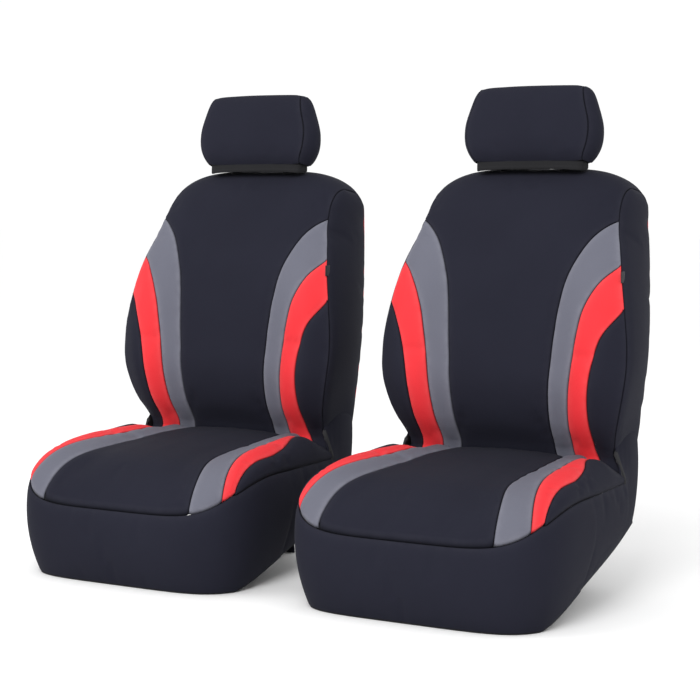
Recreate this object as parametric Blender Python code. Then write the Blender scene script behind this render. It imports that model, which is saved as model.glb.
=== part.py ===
"""Pair of front seat covers: headrest, back and cushion covers with their straps and buckles.

Each cover is a shell of sewn panels, hollow where the seat goes.  Seats face -Y, the front hem
stands on z = 0, and the origin is under the middle of the set.  Every curved panel is a closed
solid: an outer surface, and an inner one WALL below it.  Panels that meet along a seam share its
stations and its bisecting direction.
"""
from math import cos, pi, radians, sin

import bpy
import numpy as np

# Overall sizes, in metres
SPACING = 0.695          # between the two covers' centre planes
FORWARD = 0.11565        # how far each cover's own origin is behind the set's, so the set is centred
WALL = 0.0035            # foam-backed cloth
SEAM = 0.0009            # gap between two sewn panels
RECLINE = radians(8.0)   # lean of the back
CREASE_Y, CREASE_Z = 0.008, 0.280

# Back cover: heights are along the back from the crease, depths behind its leaning plane
TOP = 0.594              # height of the top
TOP_START = 0.520        # where the front starts to turn over the top
BACK_DEPTH = 0.132
BACK_START = 0.010       # height of its lower front edge
BACK_FOOT = 0.020        # height at which the front seam reaches the round side joint
BACK_CROWN = 0.006       # how far the panels stand out between the side seams
REAR_TURN = 1.85         # how far over the top the front's cloth reaches, in turns of back()
SHOULDER_DROP = 0.036    # how much lower the top is at its sides
BACK_WIDTH = ((0.0, 0.232), (0.03, 0.243), (0.08, 0.262), (0.16, 0.280), (0.21, 0.281),
              (0.30, 0.269), (0.39, 0.250), (0.485, 0.229), (0.54, 0.221), (0.60, 0.216))
LUMBAR = ((0.0, 0.002), (0.02, 0.012), (0.06, 0.043), (0.12, 0.068), (0.20, 0.076),
          (0.30, 0.076), (0.36, 0.069), (0.44, 0.048), (0.50, 0.033), (0.56, 0.012), (0.60, 0.0))
BOLSTER = ((0.0, 0.004), (0.08, 0.016), (0.28, 0.018), (0.40, 0.008), (0.60, 0.0))
REAR_WIDTH = ((0.0, 0.222), (0.10, 0.230), (0.25, 0.234), (0.42, 0.226), (0.52, 0.218), (0.60, 0.216))
SIDE_BULGE = 0.016
REAR_BULGE = 0.010
# Half widths at which the back's grey, red and outer panels begin, by height
BACK_GREY = ((0.0, 0.108), (0.12, 0.112), (0.24, 0.1205), (0.30, 0.1265), (0.36, 0.138),
             (0.40, 0.1535), (0.44, 0.175), (0.485, 0.210), (0.505, 0.226))
BACK_RED = ((0.0, 0.150), (0.06, 0.154), (0.18, 0.1655), (0.24, 0.174), (0.30, 0.1885),
            (0.36, 0.222), (0.39, 0.250))
BACK_OUTER = ((0.0, 0.200), (0.06, 0.202), (0.12, 0.206), (0.18, 0.2145), (0.24, 0.2315), (0.30, 0.269))
GREY_TIP, RED_TIP, OUTER_TIP = BACK_GREY[-1][0], BACK_RED[-1][0], BACK_OUTER[-1][0]

# Recline pivot, on the seat's own hinge line, and the round joint between back and cushion sides
PIVOT_DEPTH, PIVOT_HEIGHT = 0.070, -0.040
PIVOT_GAP = 0.004

# Cushion cover
CUSHION_REAR = 0.004
CREASE_TRIM = WALL * 1.6   # twice the gap that the top panels leave at the crease
CORNER_START = -0.200    # y at which the outline starts to turn in towards the front
CORNER_DEPTH = 0.245
CORNER_POWER = 5.0
CUSHION_WIDTH = ((-0.45, 0.284), (-0.30, 0.284), (-0.15, 0.277), (0.0, 0.262), (0.14, 0.240))
SIDE_EDGE_Z, FRONT_EDGE_Z = 0.235, 0.160
CROWN_Z = ((-0.50, 0.268), (-0.20, 0.268), (-0.08, 0.277), (0.02, 0.280))
CREST = ((0.0, 0.005), (0.07, 0.003), (0.13, 0.0), (0.185, 0.009), (0.235, 0.022), (0.30, 0.022))
REAR_DIP = 0.034         # how much the cushion's sides drop towards the crease
CUSHION_GREY = ((0.0, 0.127), (0.20, 0.138), (0.50, 0.146), (0.72, 0.158), (0.90, 0.181), (1.0, 0.192))
CUSHION_RED = ((0.0, 0.184), (0.20, 0.187), (0.50, 0.202), (0.75, 0.222), (0.92, 0.242), (1.0, 0.254))
CUSHION_OUTER = ((0.0, 0.212), (0.25, 0.220), (0.42, 0.246), (0.60, 0.262), (0.80, 0.262), (1.0, 0.270))
HEM_WIDTH = ((-0.45, 0.262), (-0.20, 0.256), (0.0, 0.248), (0.14, 0.232))
HEM_DEPTH = 0.232
HEM_FLAT = -0.360        # the hem lies on the ground in front of this y
HEM_RISE = 0.298         # and rises at this slope behind it
SKIRT_BULGE = 0.014
SKIRT_REAR = (0.098, 0.146)   # y of the side's rear edge at the hem and at the pivot

# Headrest cover, in the leaning frame, above the back's top
HEAD_GAP = 0.0012
HEAD_HEIGHT = 0.157
HEAD_DEPTH = 0.078
HEAD_TAPER = 0.30        # how much thinner it is at its top, as a share of its depth
HEAD_FRONT = BACK_DEPTH / 2 - 0.094   # the pad stands forward of its posts
HEAD_WIDTH = ((0.0, 0.124), (0.25, 0.139), (0.45, 0.141), (0.80, 0.127), (1.0, 0.119))
HEAD_SIDE_BULGE = 0.014
HEAD_CROWN = 0.004
BAND = 0.006             # height of the elastic round the opening
POST_RADIUS = 0.009      # holes in the back's top for the headrest's two posts
POST_SPACING = 0.140
POST_DEPTH = BACK_DEPTH / 2 - 0.036

# Small parts
PIPE_RADIUS = 0.0018
TAG = (0.0012, 0.014, 0.024)
TAG_HEIGHT = 0.372       # of its middle, along the back
BINDING = (0.0060, 0.0070)
FLAP_WIDTH = 0.116
FLAP_FOOT_Y = 0.070
STRAP_Y = -0.215
STRAP = (0.025, 0.0020)
STRAP_Z = 0.052
BUCKLE = (0.036, 0.032, 0.013)
POCKET = (0.026, 0.026, 0.0065)   # the socket's inside, and the side windows that its catches spring into
WINDOW = (0.012, 0.0055)
PLUG_LENGTH = 0.027
PRONG = (0.020, 0.0042, 0.0042)
CATCH = (0.0060, 0.0052)
STRAP_FIT = 0.0004       # round the webbing in the plug's slot

TAU = 2 * pi


def smooth(x):
    x = np.clip(x, 0, 1)
    return x * x * (3 - 2 * x)


def curve(at, stops):
    """A smooth line through the stops: cubic pieces whose slopes weigh their neighbours'."""
    p, q = np.array(stops, float).T
    gap, rise = np.diff(p), np.diff(q) / np.diff(p)
    inner = (rise[:-1] * gap[1:] + rise[1:] * gap[:-1]) / (gap[:-1] + gap[1:])
    slope = np.concatenate([rise[:1], inner, rise[-1:]])
    at = np.clip(np.asarray(at, float), p[0], p[-1])
    i = np.clip(np.searchsorted(p, at, side="right") - 1, 0, len(p) - 2)
    h, s = gap[i], (at - p[i]) / gap[i]
    return (q[i] * (2 * s**3 - 3 * s**2 + 1) + slope[i] * h * (s**3 - 2 * s**2 + s)
            + q[i + 1] * (3 * s**2 - 2 * s**3) + slope[i + 1] * h * (s**3 - s**2))


def unit(vectors):
    return vectors / np.maximum(np.linalg.norm(vectors, axis=-1, keepdims=True), 1e-12)


def lean(x, depth, height):
    """From the back's leaning frame to the cover's own."""
    return np.stack(np.broadcast_arrays(
        x, CREASE_Y + depth * cos(RECLINE) + height * sin(RECLINE),
        CREASE_Z + height * cos(RECLINE) - depth * sin(RECLINE)), -1)


PIVOT = lean(0.0, PIVOT_DEPTH, PIVOT_HEIGHT)


def power(value, exponent):
    return np.sign(value) * np.abs(value) ** exponent


def back(u, v):
    """The back's front, top and upper rear: u across (-1 to 1), v 0-1 up and 1-2 over."""
    u, v = np.broadcast_arrays(np.asarray(u, float), np.asarray(v, float))
    turn = np.clip(v - 1, 0, 1) * pi
    half = BACK_DEPTH / 2
    depth = np.where(v < 1, 0.0, half - half * power(np.cos(turn), 0.75))
    height = np.where(v < 1, v * TOP_START, TOP_START + (TOP - TOP_START) * power(np.sin(turn), 0.75))
    side = np.abs(u)
    front = 1 - smooth(v - 1)
    offset = curve(height, LUMBAR) * front
    bolster = smooth((side - 0.45) / 0.3) * (1 - smooth((side - 0.8) / 0.2))
    offset = offset + curve(height, BOLSTER) * bolster * front
    offset = offset + BACK_CROWN * (1 - side**2)
    drop = SHOULDER_DROP * side**5 * smooth((height - 0.36) / (TOP - 0.36))
    width = curve(height, BACK_WIDTH)
    return lean(u * width, depth - np.cos(turn) * offset, height + np.sin(turn) * offset - drop)


def back_share(v, stops):
    """Where a panel line crosses the back at v, as a share of the half width."""
    height = np.asarray(v, float) * TOP_START
    return np.where(height >= stops[-1][0], 1.0, curve(height, stops) / curve(height, BACK_WIDTH))


def rear_edge(height):
    """The seam between the side and the rear panel, on the +X side."""
    return lean(curve(height, REAR_WIDTH), BACK_DEPTH + 0 * height, height)


FOOT_DEPTH = -float(curve(BACK_FOOT, LUMBAR))
PIVOT_RADIUS = float(np.hypot(PIVOT_DEPTH - FOOT_DEPTH, BACK_FOOT - PIVOT_HEIGHT))
REAR_FOOT = PIVOT_HEIGHT + float(np.sqrt(PIVOT_RADIUS**2 - (BACK_DEPTH - PIVOT_DEPTH) ** 2))


def outline(x):
    """The y at which the cushion's top ends in front, for a half width x."""
    share = np.clip(np.abs(x) / CUSHION_WIDTH[0][1], 0, 1)
    return CORNER_START - CORNER_DEPTH * (1 - share**CORNER_POWER) ** (1 / CORNER_POWER)


def cushion(x, y):
    """The cushion's top: a crown that falls to its front edge, with a raised crest at each side."""
    x, y = np.broadcast_arrays(np.asarray(x, float), np.asarray(y, float))
    ahead = np.clip((CORNER_START - y) / CORNER_DEPTH, 0, 1)
    width = curve(y, CUSHION_WIDTH) * (1 - ahead**CORNER_POWER) ** (1 / CORNER_POWER)
    out = np.clip(np.abs(x) / np.maximum(width, 1e-9), 0, 1)
    edge = SIDE_EDGE_Z - (SIDE_EDGE_Z - FRONT_EDGE_Z) * ahead**3
    crown = curve(y, CROWN_Z) + curve(np.abs(x), CREST)
    crown = crown - REAR_DIP * smooth((y + 0.085) / 0.085) * smooth((np.abs(x) - 0.165) / 0.055)
    z = edge + (crown - edge) * (1 - ahead**1.6) ** 0.8 * (1 - out**8) ** 0.5
    return np.stack([x, y, z], -1)


def slope(shape, a, b, step=1e-4):
    """The surface's own direction outwards at (a, b), by differences."""
    along = shape(a + step, b) - shape(a - step, b)
    across = shape(a, b + step) - shape(a, b - step)
    return unit(np.cross(along, across))


def back_out(u, v):
    """Outward direction on the back; at its side seams it leans halfway to the side panel."""
    u, v = np.broadcast_arrays(np.asarray(u, float), np.asarray(v, float))
    face = slope(back, np.clip(u, -0.97, 0.97), np.clip(v, 0.002, 1.998))
    seam = np.abs(u) > 0.999
    both = unit(face + np.stack([np.sign(u), 0 * u, 0 * u], -1))
    return np.where(seam[..., None], both * 1.25, face)


def cushion_out(x, y, edge=None):
    """Outward direction on the cushion's top; where edge is set, halfway to the skirt."""
    face = slope(cushion, x, y)
    return face if edge is None else np.where(edge[..., None], skirt_lip(x, y), face)


def side_out(x, y):
    """Level direction away from the cushion's outline."""
    ahead = np.clip((CORNER_START - y) / CORNER_DEPTH, 0, 1)
    share = np.clip(np.abs(x) / CUSHION_WIDTH[0][1], 0, 1)
    front = ahead ** (CORNER_POWER - 1) / CORNER_DEPTH
    side = np.where(ahead > 0, share ** (CORNER_POWER - 1) / CUSHION_WIDTH[0][1], 1.0)
    return unit(np.stack([np.sign(x) * side, -front, 0 * side], -1))


def skirt_lip(x, y):
    return unit(side_out(x, y) * 0.75 + np.array([0, 0, 0.66])) * 1.2


# ---- build ----
for leftover in list(bpy.data.objects):
    bpy.data.objects.remove(leftover)


def material(name, colour, roughness, metallic=0.0):
    made = bpy.data.materials.new(name)
    made.use_nodes = True
    made.diffuse_color = (*colour, 1)
    shader = made.node_tree.nodes["Principled BSDF"]
    shader.inputs["Base Color"].default_value = (*colour, 1)
    shader.inputs["Roughness"].default_value = roughness
    shader.inputs["Metallic"].default_value = metallic
    return made


BLACK = material("black_polyester", (0.018, 0.018, 0.024), 0.75)
GREY = material("grey_polyester", (0.19, 0.19, 0.23), 0.75)
RED = material("red_polyester", (0.80, 0.035, 0.045), 0.70)
ELASTIC = material("black_elastic", (0.010, 0.010, 0.012), 0.85)
WEBBING = material("black_webbing", (0.014, 0.014, 0.016), 0.80)
PLASTIC = material("buckle_plastic", (0.020, 0.020, 0.022), 0.45)
LABEL = material("label_cloth", (0.030, 0.030, 0.034), 0.70)


def anchor(name, at, parent=None):
    """An empty on a joint's axis, for the pieces that move together."""
    made = bpy.data.objects.new(name, None)
    made.empty_display_size = 0.05
    bpy.context.scene.collection.objects.link(made)
    made.parent = parent
    made.location = at - (anchors[parent.name] if parent else 0)
    anchors[name] = np.array(at, float)
    return made


anchors = {}


def solid(name, points, faces, cloth, parent, round_faces=True):
    """A closed mesh in world coordinates, turned outwards, placed at its parent's axis."""
    points = np.asarray(points, float)
    tri = np.array([(f[0], f[i], f[i + 1]) for f in faces for i in range(1, len(f) - 1)])
    if np.einsum("ij,ij->i", points[tri[:, 0]], np.cross(points[tri[:, 1]], points[tri[:, 2]])).sum() < 0:
        faces = [tuple(reversed(f)) for f in faces]
    mesh = bpy.data.meshes.new(name)
    mesh.from_pydata((points - anchors[parent.name]).tolist(), [], [tuple(map(int, f)) for f in faces])
    mesh.polygons.foreach_set("use_smooth", [round_faces] * len(mesh.polygons))
    mesh.materials.append(cloth)
    made = bpy.data.objects.new(name, mesh)
    bpy.context.scene.collection.objects.link(made)
    made.parent = parent
    return made


def shell(name, outer, inward, cloth, parent, trims=(SEAM, SEAM, SEAM, SEAM)):
    """A panel between its outer grid and that grid moved inward; trims open gaps at its four edges."""
    outer = np.array(outer, float)
    inner = outer + inward
    for axis in (0, 1):
        for end, beside, trim in ((0, 1, trims[2 * axis]), (-1, -2, trims[2 * axis + 1])):
            rows, below = np.moveaxis(outer, axis, 0), np.moveaxis(inner, axis, 0)
            step = unit(rows[beside] - rows[end]) * trim / 2
            rows[end] += step
            below[end] += step
    m, n = outer.shape[:2]
    index = np.arange(m * n).reshape(m, n)
    quads = np.stack([index[:-1, :-1], index[1:, :-1], index[1:, 1:], index[:-1, 1:]], -1).reshape(-1, 4)
    rim = np.concatenate([index[:-1, 0], index[-1, :-1], index[:0:-1, -1], index[0, :0:-1]])
    after = np.roll(rim, -1)
    points = np.concatenate([outer.reshape(-1, 3), inner.reshape(-1, 3)])
    faces = np.concatenate([quads, quads[:, ::-1] + m * n]).tolist()
    # Each wall quad is cut along its shorter diagonal, so neighbours' walls stay parallel
    for a, b in zip(rim, after):
        c, d = a + m * n, b + m * n
        short = np.linalg.norm(points[a] - points[d]) < np.linalg.norm(points[b] - points[c])
        faces += [(b, a, d), (a, c, d)] if short else [(b, a, c), (b, c, d)]
    return solid(name, points, faces, cloth, parent)


def grid_out(points, towards):
    """Outward directions of a grid of points, on the side that faces towards."""
    rows, columns = np.gradient(points, axis=0), np.gradient(points, axis=1)
    face = unit(np.cross(rows, columns))
    return face * np.where((face * towards).sum() < 0, -1.0, 1.0)


def tube(name, path, sideways, radii, cloth, parent, sides=6, closed=False, turn=0.5):
    """A cord or band along a path: sideways gives one axis of its section, radii both half sizes."""
    path = np.asarray(path, float)
    ahead = (np.roll(path, -1, 0) - np.roll(path, 1, 0)) if closed else np.gradient(path, axis=0)
    ahead = unit(ahead)
    first = unit(sideways - (sideways * ahead).sum(-1, keepdims=True) * ahead)
    second = np.cross(ahead, first)
    angle = (np.arange(sides) + turn) * TAU / sides
    grow = 1 / cos(pi / sides) if sides == 4 else 1.0
    points = (path[:, None] + first[:, None] * (np.cos(angle) * radii[0] * grow)[:, None]
              + second[:, None] * (np.sin(angle) * radii[1] * grow)[:, None])
    n = len(path)
    index = np.arange(n * sides).reshape(n, sides)
    rows = np.concatenate([index, index[:1]]) if closed else index
    ahead_rows = np.roll(rows, -1, 1)
    faces = np.stack([rows[:-1], ahead_rows[:-1], ahead_rows[1:], rows[1:]], -1).reshape(-1, 4).tolist()
    if not closed:
        faces += [index[0, ::-1].tolist(), index[-1].tolist()]
    return fan_solid(name, points.reshape(-1, 3), faces, cloth, parent)


def boolean(made, tool, how):
    """Joins the tool to a piece or cuts it out, and hides the tool."""
    tool.hide_render = True
    tool.display_type = "WIRE"
    step = made.modifiers.new(tool.name, "BOOLEAN")
    step.object, step.operation, step.solver = tool, how, "EXACT"


def fan_solid(name, points, faces, cloth, parent, round_faces=True):
    """As solid, for faces with more than four corners."""
    split = []
    for face in faces:
        fan = [(face[0], face[i], face[i + 1]) for i in range(1, len(face) - 1)]
        split += [face] if len(face) <= 4 else fan
    return solid(name, points, split, cloth, parent, round_faces)


def mix(a, b, share):
    return a + (b - a) * share


def mirrored(points, side):
    return points * np.array([side, 1, 1])


def back_cover(seat, parent, shift):
    """The back's ten panels, piping and label."""
    heights = (BACK_START, BACK_FOOT, 0.05, 0.085, 0.12, 0.16, 0.20, 0.25, OUTER_TIP, 0.345, RED_TIP,
               0.435, 0.475, GREY_TIP)
    front = np.array(heights) / TOP_START
    over = np.array((1.0, 1.1, 1.2, 1.3, 1.4, 1.45, 1.5, 1.55, 1.6, 1.7, 1.78, REAR_TURN))
    whole = np.concatenate([front, over])

    def strip(name, low, high, stations, columns, side, cloth, tip):
        share = np.linspace(0, 1, columns + 1)
        across = side * mix(low[:, None], high[:, None], share)
        along = np.broadcast_to(stations[:, None], across.shape)
        outer, inward = back(across, along), -WALL * back_out(across, along)
        if tip:
            outer[-1], inward[-1] = mix(outer[-2], outer[-1], 0.9), mix(inward[-2], inward[-1], 0.9)
        return shell(name, outer + shift, inward, cloth, parent)

    centre = back_share(whole, BACK_GREY)
    panel = strip(f"{seat}_back_centre_panel", -centre, centre, whole, 8, 1, BLACK, False)
    for side in (1, -1):
        ends = np.array([TOP - 0.02, TOP + 0.02])
        middle = lean(side * POST_SPACING / 2, POST_DEPTH, ends)
        hole = tube(f"{seat}_post_hole_{side}", middle + shift, np.array([1.0, 0, 0]), (POST_RADIUS,) * 2,
                    BLACK, parent, sides=16)
        boolean(panel, hole, "DIFFERENCE")
    for side, label in ((1, "left"), (-1, "right")):
        for piece, low, high, tip, columns, cloth in (
                ("grey_stripe", BACK_GREY, BACK_RED, GREY_TIP, 2, GREY),
                ("red_stripe", BACK_RED, BACK_OUTER, RED_TIP, 2, RED),
                ("outer_panel", BACK_OUTER, None, OUTER_TIP, 3, BLACK)):
            rows = front[front <= tip / TOP_START + 1e-9]
            edge = back_share(rows, high) if high else np.ones(len(rows))
            strip(f"{seat}_back_{piece}_{label}", back_share(rows, low), edge, rows, columns, side, cloth,
                  True)

    # Side panels, from the front seam to the rear one, with a round foot about the recline pivot
    front_rows = np.concatenate([front[1:], over[:5]])
    rear_heights = np.linspace(REAR_FOOT, 0.485, len(front_rows) - 4)
    ahead = back(1.0, front_rows)
    corner = back(1.0, np.array([REAR_TURN, 1.78, 1.7, 1.6]))
    behind = np.concatenate([rear_edge(rear_heights), corner])
    share = np.linspace(0, 1, 5)
    up = np.linspace(0, 1, len(front_rows))[:, None, None]
    sides = mix(ahead[:, None], behind[:, None], share[None, :, None])
    foot = pivot_arc(share, PIVOT_RADIUS)
    sides = sides + (foot - sides[0]) * (1 - up) ** 3 * np.array([0, 1, 1])
    swell = side_swell(share)[None, :, None] * (0.45 + 0.55 * np.sin(pi * up)) * (1 - up**8)
    sides = sides + swell * np.array([1, 0, 0])
    sides[-1] = back(1.0, mix(1.4, 1.6, share))
    inward = -WALL * grid_out(sides, np.array([1.0, 0, 0]))
    inward[:, 0] = -WALL * back_out(1.0, front_rows)
    inward[:, -1] = np.concatenate([-WALL * rear_seam_out(len(rear_heights)),
                                    -WALL * back_out(1.0, np.array([REAR_TURN, 1.78, 1.7, 1.6]))])
    inward[-1] = -WALL * back_out(1.0, mix(1.4, 1.6, share))
    for side, label in ((1, "left"), (-1, "right")):
        shell(f"{seat}_back_side_panel_{label}", mirrored(sides, side) + shift, mirrored(inward, side),
              BLACK, parent)

    # Rear panel
    across = np.linspace(-1, 1, 9)
    level = np.linspace(0, 1, len(rear_heights))[:, None]
    swell = REAR_BULGE * (1 - across**2) * (0.3 + 0.7 * np.sin(pi * level))
    rear = lean(across * curve(rear_heights, REAR_WIDTH)[:, None], BACK_DEPTH + swell,
                rear_heights[:, None] + 0 * swell)
    rear = np.concatenate([rear, back(across, REAR_TURN)[None]])
    inward = -WALL * grid_out(rear, np.array([0, 1.0, 0]))
    for column, side in ((0, -1), (-1, 1)):
        inward[:-1, column] = -WALL * mirrored(rear_seam_out(len(rear_heights)), side)
    inward[-1] = -WALL * back_out(across, REAR_TURN)
    shell(f"{seat}_back_rear_panel", rear + shift, inward, BLACK, parent)

    # Piping round the rear panel
    up_path = rear_edge(np.concatenate([[REAR_FOOT + 0.012], rear_heights[1:]]))
    up_out = rear_seam_out(len(rear_heights))
    top_u = np.cos(np.linspace(0, pi, 13))
    path = np.concatenate([up_path, back(top_u, REAR_TURN), mirrored(up_path[::-1], -1)])
    out = np.concatenate([up_out, back_out(top_u, REAR_TURN), mirrored(up_out[::-1], -1)])
    path = path + unit(out) * (PIPE_RADIUS + 0.0006)
    tube(f"{seat}_back_piping", path + shift, out, (PIPE_RADIUS, PIPE_RADIUS), RED, parent, sides=5)

    # Label in the left front seam
    at = back(1.0, TAG_HEIGHT / TOP_START) + np.array([0.0062, 0.0125, 0.0]) + shift
    block(f"{seat}_side_label", at, TAG, LABEL, parent)


def side_swell(share):
    return SIDE_BULGE * 4 * share * (1 - share)


def pivot_arc(share, radius):
    """The round joint between the back's side and the cushion's, from front to rear."""
    first = np.arctan2(BACK_FOOT - PIVOT_HEIGHT, FOOT_DEPTH - PIVOT_DEPTH)
    last = np.arctan2(REAR_FOOT - PIVOT_HEIGHT, BACK_DEPTH - PIVOT_DEPTH)
    angle = mix(first, last, share)
    x = mix(curve(BACK_FOOT, BACK_WIDTH), curve(REAR_FOOT, REAR_WIDTH), share)
    return lean(x, PIVOT_DEPTH + radius * np.cos(angle), PIVOT_HEIGHT + radius * np.sin(angle))


def rear_seam_out(count):
    """Outward direction at the +X rear seam, halfway between the side and the rear panel."""
    face = unit(np.array([1.0, cos(RECLINE), -sin(RECLINE)]))
    return np.tile(face * 1.25, (count, 1))


def block(name, centre, size, cloth, parent):
    """A plain box."""
    half = np.array(size) / 2
    corners = np.array([(x, y, z) for x in (-1, 1) for y in (-1, 1) for z in (-1, 1)]) * half + centre
    faces = ((0, 1, 3, 2), (4, 6, 7, 5), (0, 4, 5, 1), (2, 3, 7, 6), (0, 2, 6, 4), (1, 5, 7, 3))
    return solid(name, corners, [list(f) for f in faces], cloth, parent, round_faces=False)


def head_loop(turn):
    """The headrest's outline seen from the side; turn 0 faces forwards, 1 up and 2 backwards."""
    angle = np.asarray(turn, float) * pi / 2
    reach, rise = power(np.cos(angle), 0.55), power(np.sin(angle), 0.55)
    thick = HEAD_DEPTH * (1 - HEAD_TAPER * (1 + rise) / 2)
    return HEAD_FRONT + thick / 2 * (1 - reach), HEAD_HEIGHT / 2 * (1 + rise)


def head_cover(seat, parent, shift):
    """The headrest cover: one wrap, two side gussets and the elastic round its opening."""
    foot = -0.78
    turns = np.array((foot, -0.6, -0.35, 0.0, 0.35, 0.6, 0.78, 0.92, 1.0, 1.08, 1.22, 1.4, 1.65, 2.0,
                      2.35, 2.6, 2 - foot))
    base = TOP + BACK_CROWN + HEAD_GAP

    def point(u, turn, out=0.0):
        depth, height = head_loop(turn)
        width = curve(height / HEAD_HEIGHT, HEAD_WIDTH)
        crown = HEAD_CROWN * (1 - u**2) * smooth((1 - np.abs(turn - 1) + 0.74) / 0.6)
        middle = np.arctan2(height - HEAD_HEIGHT / 2, depth - HEAD_FRONT - HEAD_DEPTH / 2)
        return lean(u * width, depth + np.cos(middle) * crown, base + BAND + height + np.sin(middle) * crown)

    def facing(u, turn):
        face = slope(point, np.clip(u, -0.95, 0.95), turn)
        middle = point(0.0, 1.0) * 0.5 + point(0.0, -1.0) * 0.5
        face = face * np.where(((point(u, turn) - middle) * face).sum(-1, keepdims=True) < 0, -1, 1)
        both = unit(face + np.stack([np.sign(u) * np.ones_like(turn), 0 * turn, 0 * turn], -1))
        return np.where((np.abs(u) > 0.999)[..., None], both * 1.25, face)

    across = np.linspace(-1, 1, 7)[None, :] + 0 * turns[:, None]
    along = turns[:, None] + 0 * across
    shell(f"{seat}_head_wrap_panel", point(across, along) + shift, -WALL * facing(across, along),
          BLACK, parent)
    rows = turns[:8]
    share = np.linspace(0, 1, 5)
    one = np.ones(len(rows))
    ahead, behind = point(one, rows), point(one, 2 - rows)
    gusset = mix(ahead[:, None], behind[:, None], share[None, :, None])
    level = np.linspace(0, 1, len(rows))[:, None, None]
    swell = (HEAD_SIDE_BULGE * 4 * share * (1 - share))[None, :, None]
    gusset = gusset + swell * (0.35 + 0.65 * np.sin(pi * level)) * (1 - level**8) * np.array([1, 0, 0])
    gusset[-1] = point(np.ones(5), mix(rows[-1], 2 - rows[-1], share))
    inward = -WALL * grid_out(gusset, np.array([1.0, 0, 0]))
    inward[:, 0], inward[:, -1] = -WALL * facing(one, rows), -WALL * facing(one, 2 - rows)
    inward[-1] = -WALL * facing(np.ones(5), mix(rows[-1], 2 - rows[-1], share))
    for side, label in ((1, "left"), (-1, "right")):
        shell(f"{seat}_head_gusset_{label}", mirrored(gusset, side) + shift, mirrored(inward, side),
              BLACK, parent)

    depth, height = head_loop(foot)
    wide = float(curve(height / HEAD_HEIGHT, HEAD_WIDTH)) - 0.003
    ring = np.linspace(0, TAU, 24, endpoint=False)
    x, reach = wide * power(np.cos(ring), 0.35), HEAD_FRONT + HEAD_DEPTH / 2 - depth
    reach = reach * power(np.sin(ring), 0.35)
    path = lean(x, HEAD_FRONT + HEAD_DEPTH / 2 + reach, base + BAND / 2 + 0 * x)
    outwards = lean(x, reach, 0 * x) - lean(0 * x, 0 * x, 0 * x)
    tube(f"{seat}_head_elastic", path + shift, outwards, (0.0016, BAND / 2), ELASTIC, parent, sides=4,
         closed=True)


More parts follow.
